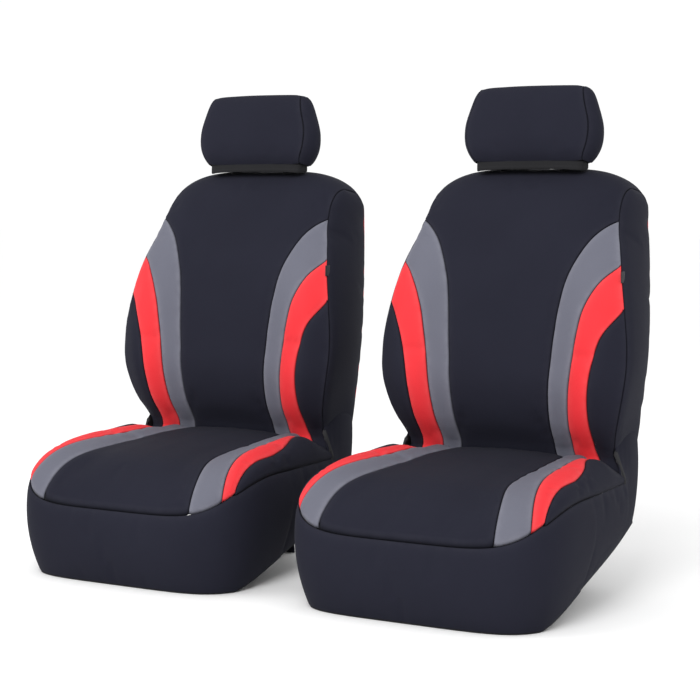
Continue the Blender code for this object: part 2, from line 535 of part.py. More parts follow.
def cushion_cover(seat, parent, shift):
    """The cushion's seven top panels, its skirt with the hem, and the flap through the crease."""
    outer_y = np.array([CUSHION_REAR, -0.045, -0.09, -0.145, CORNER_START, -0.26, -0.31, -0.35,
                        float(outline(CUSHION_OUTER[-1][1]))])
    along = (outer_y - CUSHION_REAR) / (outer_y[-1] - CUSHION_REAR)

    def line(stops):
        return np.stack([curve(along, stops), mix(CUSHION_REAR, outline(stops[-1][1]), along)], -1)

    ahead = np.clip((CORNER_START - outer_y) / CORNER_DEPTH, 0, 1)
    narrowing = (1 - ahead**CORNER_POWER) ** (1 / CORNER_POWER)
    border = np.stack([curve(outer_y, CUSHION_WIDTH) * narrowing, outer_y], -1)
    grey, red = line(CUSHION_GREY), line(CUSHION_RED)
    outer = np.stack([curve(along, CUSHION_OUTER), outer_y], -1)
    border[-1] = outer[-1]

    def top(name, low, high, shares, cloth, snap, side=1, tip=False, edge=False):
        flat = mix(low[:, None], high[:, None], np.array(shares)[None, :, None])
        if snap:
            flat[-1, :, 1] = outline(flat[-1, :, 0])
        on_edge = np.zeros(flat.shape[:2], bool)
        on_edge[-1] |= snap or tip
        on_edge[:, -1] |= edge
        points = cushion(flat[..., 0], flat[..., 1])
        inward = -WALL * cushion_out(flat[..., 0], flat[..., 1], on_edge)
        if tip:
            points[-1], inward[-1] = mix(points[-2], points[-1], 0.9), mix(inward[-2], inward[-1], 0.9)
        shell(name, mirrored(points, side) + shift, mirrored(inward, side), cloth, parent,
              (CREASE_TRIM, SEAM, SEAM, SEAM))

    flipped = grey * np.array([-1, 1])
    top(f"{seat}_cushion_centre_panel", flipped, grey, np.linspace(0, 1, 9), BLACK, True)
    for side, label in ((1, "left"), (-1, "right")):
        top(f"{seat}_cushion_grey_stripe_{label}", grey, red, (0, 0.33, 0.67, 1), GREY, True, side)
        top(f"{seat}_cushion_red_stripe_{label}", red, outer, (0, 0.5, 1), RED, True, side)
        top(f"{seat}_cushion_outer_panel_{label}", outer, border, (0, 0.45, 0.8, 1), BLACK, False, side,
            tip=True, edge=True)

    # Skirt: stations from the left rear, round the front, to the right rear
    ear_y = np.array([0.141, 0.112, 0.080, 0.046, 0.014])
    spread = mix(grey[-1, 0], -grey[-1, 0], np.linspace(0, 1, 9))
    greys = mix(grey[-1, 0], red[-1, 0], np.array([0.67, 0.33]))
    fronts = np.concatenate([[mix(red[-1, 0], outer[-1, 0], 0.5), red[-1, 0]], greys, spread[:4]])
    half = np.concatenate([border, np.stack([fronts, outline(fronts)], -1)])
    lip = cushion(half[:, 0], half[:, 1])
    arc = pivot_arc(np.linspace(0, 1, 81), PIVOT_RADIUS - PIVOT_GAP)
    ears = np.stack([np.interp(ear_y, arc[:, 1], arc[:, i]) for i in range(3)], -1)
    ears[:, 0] += side_swell(np.interp(ear_y, arc[:, 1], np.linspace(0, 1, 81))) * 0.45
    middle = cushion(np.zeros(1), outline(np.zeros(1)))
    lip = np.concatenate([ears, lip, middle, mirrored(np.concatenate([ears, lip])[::-1], -1)])
    y = lip[:, 1]
    rear_y = np.interp(y, (CORNER_START, 0.141), (CORNER_START, SKIRT_REAR[0]))
    hem_y = np.where(y < CORNER_START, CORNER_START + (y - CORNER_START) * HEM_DEPTH / CORNER_DEPTH, rear_y)
    hem_x = np.where(y < CORNER_START, lip[:, 0] * HEM_WIDTH[0][1] / CUSHION_WIDTH[0][1],
                     np.sign(lip[:, 0]) * curve(hem_y, HEM_WIDTH))
    hem_z = np.maximum(0, hem_y - HEM_FLAT) * HEM_RISE
    hem = np.stack([hem_x, hem_y, hem_z], -1)
    out = side_out(lip[:, 0], y)
    out[np.abs(lip[:, 0]) < 1e-9] = (0, -1, 0)
    down = np.array((0, 0.1, 0.25, 0.45, 0.65, 0.85, 1))[None, :, None]
    binding_top = hem + np.array([0, 0, BINDING[1] + SEAM])
    is_ear = (y > CUSHION_REAR + 1e-6)[:, None, None]
    skirt = mix(lip[:, None], binding_top[:, None], down)
    skirt = skirt + out[:, None] * SKIRT_BULGE * 4 * down * (1 - down) * np.where(is_ear, 0.45, 1.0)
    inward = -WALL * grid_out(skirt, out[:, None])
    inward[:, 0] = np.where(is_ear[:, 0], -WALL * out, -WALL * skirt_lip(lip[:, 0], y))
    shell(f"{seat}_cushion_skirt", skirt + shift, inward, BLACK, parent)
    path = hem + np.array([0, 0, BINDING[1] / 2]) - out * WALL / 2
    tube(f"{seat}_hem_binding", path + shift, out, (BINDING[0] / 2, BINDING[1] / 2), ELASTIC, parent,
         sides=4)

    # Tuck flap: sewn under the crease, it hangs behind the cushion
    drop = np.array([(0.0075, 0.2700), (0.0110, 0.2600), (0.0220, 0.2300), (0.0420, 0.1600),
                     (0.0600, 0.0700), (FLAP_FOOT_Y, 0.0)])
    wide = np.linspace(-FLAP_WIDTH, FLAP_WIDTH, 3)
    sheet = np.stack(np.broadcast_arrays(wide[None, :], drop[:, :1], drop[:, 1:]), -1)
    facing = grid_out(sheet, np.array([0, -1.0, 0]))
    facing[-1] = (0, -1, 0)
    shell(f"{seat}_tuck_flap", sheet + shift, -WALL * facing, BLACK, parent, (0, 0, 0, 0))


def boxes_union(name, boxes, cloth, parent, holes=()):
    """Boxes joined into one body, less the holes; each box is its centre and its size."""
    made = [block(f"{name}_{i}" if i else name, c, d, cloth, parent) for i, (c, d) in enumerate(boxes)]
    cuts = [block(f"{name}_hole_{i}", c, d, cloth, parent) for i, (c, d) in enumerate(holes)]
    for tool in made[1:]:
        boolean(made[0], tool, "UNION")
    for tool in cuts:
        boolean(made[0], tool, "DIFFERENCE")


def under_strap(seat, parent, slider, shift):
    """Webbing from hem to hem under the cushion, joined by a side-release buckle."""
    width, thick = STRAP
    long, wide, high = BUCKLE
    reach = float(curve(STRAP_Y, HEM_WIDTH)) - WALL - BINDING[0] / 2 - 0.0012
    low = 0.003 - high / 2
    lift = 0.0015

    def at(x, y, z):
        return np.array([x, STRAP_Y + y, STRAP_Z + z]) + shift

    tail, inner = long + 0.0005, PLUG_LENGTH - 0.003
    for label, side, start in (("left", 1, tail), ("right", -1, inner)):
        block(f"{seat}_strap_{label}", at(side * (reach + start) / 2, 0, low), (reach - start, width, thick),
              WEBBING, parent)
    window = PRONG[0] - PRONG[1]
    boxes_union(f"{seat}_buckle_socket", [(at(long / 2, 0, 0), BUCKLE)], PLASTIC, parent, [
        (at(POCKET[0] / 2 - 0.002, 0, lift), POCKET),
        (at(window, 0, lift), (WINDOW[0], wide + 0.01, WINDOW[1]))])
    body = (at(-PLUG_LENGTH / 2 - 0.001, 0, 0), (PLUG_LENGTH, wide, high))
    prong_y = POCKET[1] / 2 - PRONG[1] - STRAP_FIT + 0.0001
    catch_y = prong_y + PRONG[1] / 2 - STRAP_FIT
    prongs = [(at(PRONG[0] / 2 - 0.003, side * prong_y, lift), PRONG) for side in (1, -1)]
    catches = [(at(window, side * catch_y, lift), (*CATCH, PRONG[2])) for side in (1, -1)]
    slot = (at(body[0][0] - at(0, 0, 0)[0], 0, low), (0.040, width + 2 * STRAP_FIT, thick + 2 * STRAP_FIT))
    boxes_union(f"{seat}_buckle_plug", [body, *prongs, *catches], PLASTIC, slider, [slot])


for seat, side in (("driver", 1), ("passenger", -1)):
    shift = np.array([side * SPACING / 2, FORWARD, 0])
    base = anchor(f"{seat}_cushion_base", shift)
    hinge = anchor(f"{seat}_recline_axis", PIVOT + shift, base)
    head = anchor(f"{seat}_headrest_slide", back(0.0, 1.5) + shift, hinge)
    buckle = anchor(f"{seat}_buckle_slide", np.array([0, STRAP_Y, STRAP_Z]) + shift, base)
    back_cover(seat, hinge, shift)
    head_cover(seat, head, shift)
    cushion_cover(seat, base, shift)
    under_strap(seat, base, buckle, shift)
bpy.context.view_layer.update()
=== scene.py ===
"""Looks of a pair of bucket-seat covers, sewn from black, grey and red cloth.

Every panel is a grid of points worked out from the covers' own surfaces: two parameters run along
and across the panel, closer together near its seams.  The panel is then relaxed as cloth held at
its seams, puffed out over its foam, rolled down into the seams, and given its thickness.
"""
from math import cos, pi, radians, sin

import bpy
import numpy as np
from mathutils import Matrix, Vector

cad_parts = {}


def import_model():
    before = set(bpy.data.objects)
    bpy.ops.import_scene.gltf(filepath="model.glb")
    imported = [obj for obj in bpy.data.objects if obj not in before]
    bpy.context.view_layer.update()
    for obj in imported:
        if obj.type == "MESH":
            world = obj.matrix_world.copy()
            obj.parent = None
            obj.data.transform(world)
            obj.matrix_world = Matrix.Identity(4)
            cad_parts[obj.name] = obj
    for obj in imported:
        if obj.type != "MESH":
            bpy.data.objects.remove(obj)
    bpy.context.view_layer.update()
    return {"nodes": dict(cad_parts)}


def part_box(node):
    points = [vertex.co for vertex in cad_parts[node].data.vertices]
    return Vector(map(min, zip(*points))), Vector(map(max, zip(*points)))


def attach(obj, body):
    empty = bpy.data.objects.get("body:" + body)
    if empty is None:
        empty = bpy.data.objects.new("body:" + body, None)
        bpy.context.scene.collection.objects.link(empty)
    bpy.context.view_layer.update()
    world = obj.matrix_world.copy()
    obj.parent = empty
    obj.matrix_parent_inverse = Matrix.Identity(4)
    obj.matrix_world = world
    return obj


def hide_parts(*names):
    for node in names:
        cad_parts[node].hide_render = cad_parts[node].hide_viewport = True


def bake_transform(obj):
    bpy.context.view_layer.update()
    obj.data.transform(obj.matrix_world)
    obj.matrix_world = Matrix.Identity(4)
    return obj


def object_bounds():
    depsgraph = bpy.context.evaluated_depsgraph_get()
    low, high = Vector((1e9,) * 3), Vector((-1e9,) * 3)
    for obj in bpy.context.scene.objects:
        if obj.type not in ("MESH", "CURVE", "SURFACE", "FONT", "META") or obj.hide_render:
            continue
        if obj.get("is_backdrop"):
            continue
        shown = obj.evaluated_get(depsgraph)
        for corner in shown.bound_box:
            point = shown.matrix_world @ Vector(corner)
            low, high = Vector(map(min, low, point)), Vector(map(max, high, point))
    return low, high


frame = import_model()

TAU = 2 * pi
FLIP = np.array([-1, 1, 1])      # from a cover's left side to its right

# ---- The covers' own sizes, in metres ----
RECLINE = radians(8.0)                  # lean of the back
CREASE_Y, CREASE_Z = 0.008, 0.280
TOP, TOP_START = 0.594, 0.520           # heights along the back, from the crease
BACK_DEPTH = 0.132
BACK_FOOT = 0.020
BACK_CROWN = 0.006
REAR_TURN = 1.85
SHOULDER_DROP = 0.036
BACK_WIDTH = ((0.0, 0.232), (0.03, 0.243), (0.08, 0.262), (0.16, 0.280), (0.21, 0.281),
              (0.30, 0.269), (0.39, 0.250), (0.485, 0.229), (0.54, 0.221), (0.60, 0.216))
LUMBAR = ((0.0, 0.002), (0.02, 0.012), (0.06, 0.043), (0.12, 0.068), (0.20, 0.076),
          (0.30, 0.076), (0.36, 0.069), (0.44, 0.048), (0.50, 0.033), (0.56, 0.012), (0.60, 0.0))
BOLSTER = ((0.0, 0.004), (0.08, 0.016), (0.28, 0.018), (0.40, 0.008), (0.60, 0.0))
REAR_WIDTH = ((0.0, 0.222), (0.10, 0.230), (0.25, 0.234), (0.42, 0.226), (0.52, 0.218), (0.60, 0.216))
SIDE_BULGE = 0.016
REAR_BULGE = 0.010
BACK_GREY = ((0.0, 0.108), (0.12, 0.112), (0.24, 0.1205), (0.30, 0.1265), (0.36, 0.138),
             (0.40, 0.1535), (0.44, 0.175), (0.485, 0.210), (0.505, 0.226))
BACK_RED = ((0.0, 0.150), (0.06, 0.154), (0.18, 0.1655), (0.24, 0.174), (0.30, 0.1885),
            (0.36, 0.222), (0.39, 0.250))
BACK_OUTER = ((0.0, 0.200), (0.06, 0.202), (0.12, 0.206), (0.18, 0.2145), (0.24, 0.2315), (0.30, 0.269))
PIVOT_DEPTH, PIVOT_HEIGHT = 0.070, -0.040
CUSHION_REAR = 0.004
CORNER_START, CORNER_DEPTH, CORNER_POWER = -0.200, 0.245, 5.0
CUSHION_WIDTH = ((-0.45, 0.284), (-0.30, 0.284), (-0.15, 0.277), (0.0, 0.262), (0.14, 0.240))
SIDE_EDGE_Z, FRONT_EDGE_Z = 0.235, 0.160
CROWN_Z = ((-0.50, 0.268), (-0.20, 0.268), (-0.08, 0.277), (0.02, 0.280))
CREST = ((0.0, 0.005), (0.07, 0.003), (0.13, 0.0), (0.185, 0.009), (0.235, 0.022), (0.30, 0.022))
REAR_DIP = 0.034
CUSHION_GREY = ((0.0, 0.127), (0.20, 0.138), (0.50, 0.146), (0.72, 0.158), (0.90, 0.181), (1.0, 0.192))
CUSHION_RED = ((0.0, 0.184), (0.20, 0.187), (0.50, 0.202), (0.75, 0.222), (0.92, 0.242), (1.0, 0.254))
CUSHION_OUTER = ((0.0, 0.212), (0.25, 0.220), (0.42, 0.246), (0.60, 0.262), (0.80, 0.262), (1.0, 0.270))
HEM_WIDTH = ((-0.45, 0.262), (-0.20, 0.256), (0.0, 0.248), (0.14, 0.232))
HEM_DEPTH = 0.232
HEM_FLAT, HEM_RISE = -0.360, 0.298
SKIRT_BULGE = 0.014
SKIRT_REAR = (0.098, 0.146)
HEAD_GAP = 0.0012
HEAD_HEIGHT, HEAD_DEPTH, HEAD_FRONT, HEAD_TAPER = 0.157, 0.078, -0.028, 0.30
HEAD_WIDTH = ((0.0, 0.124), (0.25, 0.139), (0.45, 0.141), (0.80, 0.127), (1.0, 0.119))
HEAD_SIDE_BULGE, HEAD_CROWN, HEAD_FOOT = 0.014, 0.004, -0.78
BAND = 0.006
POST_RADIUS, POST_SPACING, POST_DEPTH = 0.009, 0.140, 0.030
RING_DIP, RING_LAP, RING_THICK = 0.0095, 0.003, 0.0048   # lower in front, lap over the wrap's foot
PIPE_RADIUS, PIPE_INSET = 0.0018, 0.0022
TAG_HEIGHT, TAG_LENGTH, TAG_WIDTH, TAG_FOLD = 0.372, 0.0205, 0.023, 0.00064
TAG_OFFSET = np.array([0.0045, -0.0105, -0.008])
TAG_THICKNESS = 0.0005
BINDING = (0.0060, 0.0070)
FLAP_WIDTH, FLAP_FOOT_Y = 0.116, 0.070

# ---- How the cloth behaves ----
CLOTH = 0.0030           # foam-backed polyester
SEAM_ROLL = 0.0042       # how far from a seam the cloth starts to roll in
SEAM_DIP = 0.0030        # how deep it goes
PUFF = 0.0022            # how far the foam lifts a panel between its seams
PUFF_REACH = 0.013
PUCKER = 0.00022         # height of the gathers along a seam
STEP = 0.0060            # spacing of a panel's points
CREASE_TUCK = -0.050     # height down to which the back's cloth is tucked behind the cushion
BLEND_LOW, BLEND_HIGH = 0.005, 0.085   # heights up the back, which dress() works out for the bending pieces and leaves unused
NEAR_SEAM = np.array((0, 0.0007, 0.0016, 0.0028, 0.0044, 0.0066))

FLAP_WALL = 0.0035       # thickness of the tuck flap's node
POSITIONS = {}           # each cover's own origin
for seat in ("driver", "passenger"):
    low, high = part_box(f"{seat}_cushion_skirt")
    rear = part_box(f"{seat}_tuck_flap")[1][1]
    POSITIONS[seat] = np.array([(low[0] + high[0]) / 2, rear - FLAP_FOOT_Y - FLAP_WALL, 0.0])


def smooth(x):
    """3x^2 - 2x^3 between 0 and 1."""
    x = np.clip(x, 0, 1)
    return x * x * (3 - 2 * x)


def mix(a, b, share):
    return a + (b - a) * share


def power(value, exponent):
    """The value's size to that exponent, with its sign kept."""
    return np.sign(value) * np.abs(value) ** exponent


def curve(at, stops):
    """A smooth line through the stops: cubic pieces whose slopes weigh their neighbours'."""
    p, q = np.array(stops, float).T
    gap, rise = np.diff(p), np.diff(q) / np.diff(p)
    inner = (rise[:-1] * gap[1:] + rise[1:] * gap[:-1]) / (gap[:-1] + gap[1:])
    slopes = np.concatenate([rise[:1], inner, rise[-1:]])
    at = np.clip(np.asarray(at, float), p[0], p[-1])
    i = np.clip(np.searchsorted(p, at, side="right") - 1, 0, len(p) - 2)
    h, s = gap[i], (at - p[i]) / gap[i]
    return (q[i] * (2 * s**3 - 3 * s**2 + 1) + slopes[i] * h * (s**3 - 2 * s**2 + s)
            + q[i + 1] * (3 * s**2 - 2 * s**3) + slopes[i + 1] * h * (s**3 - s**2))


def through(at, points):
    """A smooth line in space through the points, which sit at 0, 1, 2 and so on."""
    count = np.arange(len(points))
    return np.stack([curve(at, np.stack([count, points[:, i]], -1)) for i in range(3)], -1)


def unit(vectors):
    return vectors / np.maximum(np.linalg.norm(vectors, axis=-1, keepdims=True), 1e-12)


def distances(path):
    """How far along its line each point lies from the first."""
    return np.concatenate([[0], np.cumsum(np.linalg.norm(np.diff(path, axis=0), axis=1))])


def lean(x, depth, height):
    """From the back's leaning frame to the cover's own: a turn by RECLINE about the crease."""
    return np.stack(np.broadcast_arrays(
        x, CREASE_Y + depth * cos(RECLINE) + height * sin(RECLINE),
        CREASE_Z + height * cos(RECLINE) - depth * sin(RECLINE)), -1)


# ---- The covers' surfaces ----
def back(u, v):
    """The back: u across from -1 to 1, v up the front to 1 and over the top to 2.

    The front bulges by LUMBAR and, near the sides, by BOLSTER; over the top the section is half a
    superellipse; the crown BACK_CROWN (1 - u^2) stands on both.  Below v = 0 the width flares out.
    """
    u, v = np.broadcast_arrays(np.asarray(u, float), np.asarray(v, float))
    turn = np.clip(v - 1, 0, 1) * pi
    half = BACK_DEPTH / 2
    depth = np.where(v < 1, 0.0, half - half * power(np.cos(turn), 0.75))
    height = np.where(v < 1, v * TOP_START, TOP_START + (TOP - TOP_START) * power(np.sin(turn), 0.75))
    side = np.abs(u)
    front = 1 - smooth(v - 1)
    bolster = smooth((side - 0.45) / 0.3) * (1 - smooth((side - 0.8) / 0.2))
    offset = (curve(height, LUMBAR) + curve(height, BOLSTER) * bolster) * front
    offset = offset + BACK_CROWN * (1 - side**2)
    drop = SHOULDER_DROP * side**5 * smooth((height - 0.36) / (TOP - 0.36))
    width = curve(height, BACK_WIDTH) + 0.030 * smooth((BACK_FOOT - height) / (BACK_FOOT - CREASE_TUCK))
    return lean(u * width, depth - np.cos(turn) * offset, height + np.sin(turn) * offset - drop)


def back_share(v, stops):
    """Where a panel line crosses the back at v, as a share of the half width."""
    height = np.asarray(v, float) * TOP_START
    return np.where(height >= stops[-1][0], 1.0, curve(height, stops) / curve(height, BACK_WIDTH))


def slope(shape, a, b, step=1e-4):
    """The surface's own direction outwards at (a, b): the cross product of its two differences."""
    along = shape(a + step, b) - shape(a - step, b)
    across = shape(a, b + step) - shape(a, b - step)
    return unit(np.cross(along, across))


def back_corner(v):
    """Halfway between the front's direction and +X, at the back's left edge."""
    v = np.asarray(v, float)
    return unit(slope(back, 0.97 + 0 * v, np.clip(v, 0.002, 1.998)) + np.array([1.0, 0, 0]))


def rear_edge(height):
    """The back's left rear edge at these heights."""
    return lean(curve(height, REAR_WIDTH), BACK_DEPTH + 0 * height, height)


FOOT_DEPTH = -float(curve(BACK_FOOT, LUMBAR))
PIVOT_RADIUS = float(np.hypot(PIVOT_DEPTH - FOOT_DEPTH, BACK_FOOT - PIVOT_HEIGHT))
REAR_FOOT = PIVOT_HEIGHT + float(np.sqrt(PIVOT_RADIUS**2 - (BACK_DEPTH - PIVOT_DEPTH) ** 2))


def pivot_arc(share):
    """The round joint between the back's side and the cushion's, from front to rear."""
    first = np.arctan2(BACK_FOOT - PIVOT_HEIGHT, FOOT_DEPTH - PIVOT_DEPTH)
    last = np.arctan2(REAR_FOOT - PIVOT_HEIGHT, BACK_DEPTH - PIVOT_DEPTH)
    angle = mix(first, last, share)
    x = mix(back(1.0, BACK_FOOT / TOP_START)[0], curve(REAR_FOOT, REAR_WIDTH), share)
    return lean(x, PIVOT_DEPTH + PIVOT_RADIUS * np.cos(angle), PIVOT_HEIGHT + PIVOT_RADIUS * np.sin(angle))


def side_swell(share):
    """The side's bulge: a parabola from its front edge to its rear one."""
    return SIDE_BULGE * 4 * share * (1 - share)


def narrowing(ahead):
    """A superellipse's half width where its depth is the share ahead."""
    return (1 - ahead**CORNER_POWER) ** (1 / CORNER_POWER)


def before(y):
    """How far in front of CORNER_START, as a share of CORNER_DEPTH."""
    return np.clip((CORNER_START - y) / CORNER_DEPTH, 0, 1)


def outline(x):
    """The y at which the cushion's top ends in front: a superellipse's corner."""
    share = np.clip(np.abs(x) / CUSHION_WIDTH[0][1], 0, 1)
    return CORNER_START - CORNER_DEPTH * narrowing(share)


def cushion(x, y):
    """The cushion's top: a crown that falls to its edge, with a raised crest at each side."""
    x, y = np.broadcast_arrays(np.asarray(x, float), np.asarray(y, float))
    ahead = before(y)
    width = curve(y, CUSHION_WIDTH) * narrowing(ahead)
    out = np.clip(np.abs(x) / np.maximum(width, 1e-9), 0, 1)
    edge = SIDE_EDGE_Z - (SIDE_EDGE_Z - FRONT_EDGE_Z) * ahead**3
    crown = curve(y, CROWN_Z) + curve(np.abs(x), CREST)
    crown = crown - REAR_DIP * smooth((y + 0.085) / 0.085) * smooth((np.abs(x) - 0.165) / 0.055)
    z = edge + (crown - edge) * (1 - ahead**1.6) ** 0.8 * (1 - out**8) ** 0.5
    return np.stack([x, y, z], -1)


def side_out(x, y):
    """Level direction away from the cushion's outline."""
    ahead, share = before(y), np.clip(np.abs(x) / CUSHION_WIDTH[0][1], 0, 1)
    front = ahead ** (CORNER_POWER - 1) / CORNER_DEPTH
    side = np.where(ahead > 0, share ** (CORNER_POWER - 1) / CUSHION_WIDTH[0][1], 1.0)
    return unit(np.stack([np.sign(x) * side, -front, 0 * side], -1))


def cushion_lip(x, y):
    """Halfway between the skirt's direction and the top's, at the seam between them."""
    return unit(side_out(x, y) * 0.75 + np.array([0, 0, 0.66]))


def head_loop(turn):
    """The headrest seen from the side: a superellipse, thinner towards its top.

    Turn 0 faces forwards, 1 up and 2 backwards.
    """
    angle = np.asarray(turn, float) * pi / 2
    rise = power(np.sin(angle), 0.55)
    thick = HEAD_DEPTH * (1 - HEAD_TAPER * (1 + rise) / 2)
    return HEAD_FRONT + thick / 2 * (1 - power(np.cos(angle), 0.55)), HEAD_HEIGHT / 2 * (1 + rise)


HEAD_BASE = TOP + BACK_CROWN + HEAD_GAP


def head(u, turn):
    """The headrest's wrap: u across, turn round its side outline, crowned between its seams."""
    u, turn = np.broadcast_arrays(np.asarray(u, float), np.asarray(turn, float))
    depth, height = head_loop(turn)
    width = curve(height / HEAD_HEIGHT, HEAD_WIDTH)
    crown = HEAD_CROWN * (1 - u**2) * smooth((1 - np.abs(turn - 1) + 0.74) / 0.6)
    middle = np.arctan2(height - HEAD_HEIGHT / 2, depth - HEAD_FRONT - HEAD_DEPTH / 2)
    level = HEAD_BASE + BAND + height + np.sin(middle) * crown
    return lean(u * width, depth + np.cos(middle) * crown, level)


def head_corner(turn):
    """Halfway between the wrap's direction and +X."""
    turn = np.asarray(turn, float)
    at = head(0.95, turn)
    face = slope(head, 0.95 + 0 * turn, turn)
    middle = head(0.0, 1.0) * 0.5 + head(0.0, -1.0) * 0.5
    face = face * np.where(((at - middle) * face).sum(-1, keepdims=True) < 0, -1, 1)
    return unit(face + np.array([1.0, 0, 0]))


# ---- Panels ----
def spread(length, step):
    """Distances along a line: close together near both ends, evenly spaced between."""
    ends = NEAR_SEAM * min(1, 0.4 * length / NEAR_SEAM[-1])
    count = max(2, int(np.ceil((length - 2 * ends[-1]) / step)))
    middle = np.linspace(ends[-1], length - ends[-1], count + 1)
    return np.concatenate([ends[:-1], middle, length - ends[-2::-1]])


def stations(line, first, last, step=STEP):
    """Parameters from first to last that walk the line at spread()'s distances."""
    fine = np.linspace(first, last, 1201)
    far = distances(line(fine))
    return np.interp(spread(far[-1], step), far, fine)


def columns(widths, step=STEP):
    """Shares across rows of these widths, with spread()'s distances kept near both sides."""
    count = max(2, int(np.ceil((widths.max() - 2 * NEAR_SEAM[-1]) / step)))
    widths = widths[:, None]
    ends = NEAR_SEAM * np.minimum(1, 0.4 * widths / NEAR_SEAM[-1]) / widths
    middle = mix(ends[:, -1:], 1 - ends[:, -1:], np.linspace(0, 1, count + 1))
    return np.concatenate([ends[:, :-1], middle, 1 - ends[:, -2::-1]], 1)


def walked(points, axis):
    """Each point's distance along its row or column from the first end and from the last."""
    steps = np.linalg.norm(np.diff(points, axis=axis), axis=-1)
    far = np.cumsum(steps, axis=axis)
    start = np.concatenate([np.zeros_like(np.take(far, [0], axis)), far], axis)
    return start, np.take(start, [-1], axis) - start


def outwards(points, towards):
    """Unit directions square to the grid, on the side that faces towards."""
    face = unit(np.cross(np.gradient(points, axis=0), np.gradient(points, axis=1)))
    return face * np.where((face * towards).sum() < 0, -1.0, 1.0)


def relax(points, out, pressure, cap):
    """How far a panel moves as cloth that is held at its seams and pushed out by its foam.

    Every third point of the grid is simulated, its moves are capped, and the fine grid takes them
    by a weighted mean of the four coarse points round it.
    """
    pick = [np.unique(np.round(np.linspace(0, n - 1, max(4, n // 3))).astype(int)) for n in points.shape[:2]]
    coarse = points[np.ix_(*pick)]
    m, n = coarse.shape[:2]
    index = np.arange(m * n).reshape(m, n)
    quads = np.stack([index[:-1, :-1], index[1:, :-1], index[1:, 1:], index[:-1, 1:]], -1).reshape(-1, 4)
    if (np.cross(coarse[1:, :-1] - coarse[:-1, :-1], coarse[:-1, 1:] - coarse[:-1, :-1])
            * out[np.ix_(*pick)][:-1, :-1]).sum() < 0:
        quads = quads[:, ::-1]
    mesh = bpy.data.meshes.new("relaxing")
    mesh.from_pydata(coarse.reshape(-1, 3).tolist(), [], quads.tolist())
    cloth = bpy.data.objects.new("relaxing", mesh)
    bpy.context.scene.collection.objects.link(cloth)
    held = cloth.vertex_groups.new(name="seams")
    border = np.unique(np.concatenate([index[0], index[-1], index[:, 0], index[:, -1]]))
    held.add(border.tolist(), 1.0, "ADD")
    work = cloth.modifiers.new("cloth", "CLOTH")
    rules = work.settings
    rules.vertex_group_mass = "seams"
    rules.quality, rules.mass = 4, 0.25
    rules.tension_stiffness = rules.compression_stiffness = 12
    rules.shear_stiffness, rules.bending_stiffness = 4, 2.0
    rules.shrink_min = -0.006
    rules.use_pressure, rules.uniform_pressure_force = True, pressure
    rules.effector_weights.gravity = 0
    work.point_cache.frame_start, work.point_cache.frame_end = 1, 20
    for at in range(1, 21):
        bpy.context.scene.frame_set(at)
    graph = bpy.context.evaluated_depsgraph_get()
    now = np.empty(m * n * 3)
    cloth.evaluated_get(graph).data.vertices.foreach_get("co", now)
    moved = now.reshape(m, n, 3) - coarse
    size = np.linalg.norm(moved, axis=-1, keepdims=True)
    moved = moved * cap * np.tanh(size / cap) / np.maximum(size, 1e-9)
    bpy.data.objects.remove(cloth)
    bpy.data.meshes.remove(mesh)
    bpy.context.scene.frame_set(1)
    for axis in (0, 1):
        where = np.interp(np.arange(points.shape[axis]), pick[axis], np.arange(len(pick[axis])))
        low = np.minimum(where.astype(int), len(pick[axis]) - 2)
        share = (where - low).reshape((-1, 1, 1) if axis == 0 else (1, -1, 1))
        moved = mix(np.take(moved, low, axis), np.take(moved, low + 1, axis), smooth(share))
    return moved


def upholster(points, towards, seams, turns=(None,) * 4, puff=PUFF, pressure=3.0, cap=0.003):
    """Gives a panel's grid its body, and returns its points, its cut's measures and its seam mask, which the
    cloths use for painted seam shade and highlight.

    seams says for the first row, last row, first column and last column how far each is sewn, from
    0 to 1, also point by point; turns gives a shared direction at a seam round a corner.  At
    distance d from the nearest seam the cloth stands puff (1 - e^-(d/PUFF_REACH)^2) proud, less a
    quarter circle of radius SEAM_ROLL scaled to SEAM_DIP, and fine gathers run along each seam.
    """
    points = np.array(points, float)
    down, up = walked(points, 0)
    left, right = walked(points, 1)
    away = [down, up, left, right]
    if pressure:
        points = points + relax(points, outwards(points, towards), pressure, cap)
    out = outwards(points, towards)
    nearest = np.full(down.shape, 1.0)
    gathers = 0
    for side, (distance, sewn, turn) in enumerate(zip(away, seams, turns)):
        sewn = np.asarray(sewn, float)
        line = np.reshape(sewn, (1, -1) if side < 2 else (-1, 1)) if sewn.ndim else sewn
        loose = distance + (1 - line) * 0.08
        nearest = np.minimum(nearest, loose)
        along = left if side < 2 else down
        wave = np.sin(TAU * along / 0.0085 + 1.6 * np.sin(TAU * along / 0.037 + side))
        gathers = gathers + PUCKER * wave * np.exp(-loose / 0.006) * (1 - np.exp(-loose / 0.002))
        if turn is not None:
            turn = np.asarray(turn)[None, :] if side < 2 else np.asarray(turn)[:, None]
            out = out + (1 - smooth(distance / (2 * SEAM_ROLL)))[..., None] * (turn - out)
    rolled = 1 - np.sqrt(np.clip(1 - (1 - np.clip(nearest / SEAM_ROLL, 0, 1)) ** 2, 0, 1))
    rise = puff * (1 - np.exp(-(nearest / PUFF_REACH) ** 2)) - SEAM_DIP * rolled + gathers
    return {"points": points + unit(out) * rise[..., None], "flat": np.stack([left, down], -1),
            "edge": np.exp(-nearest / 0.0045), "towards": np.asarray(towards, float)}


def mirrored(panel, side):
    """The same panel on the cover's other side."""
    flip = np.array([side, 1.0, 1.0])
    return {**panel, "points": panel["points"] * flip, "towards": panel["towards"] * flip}


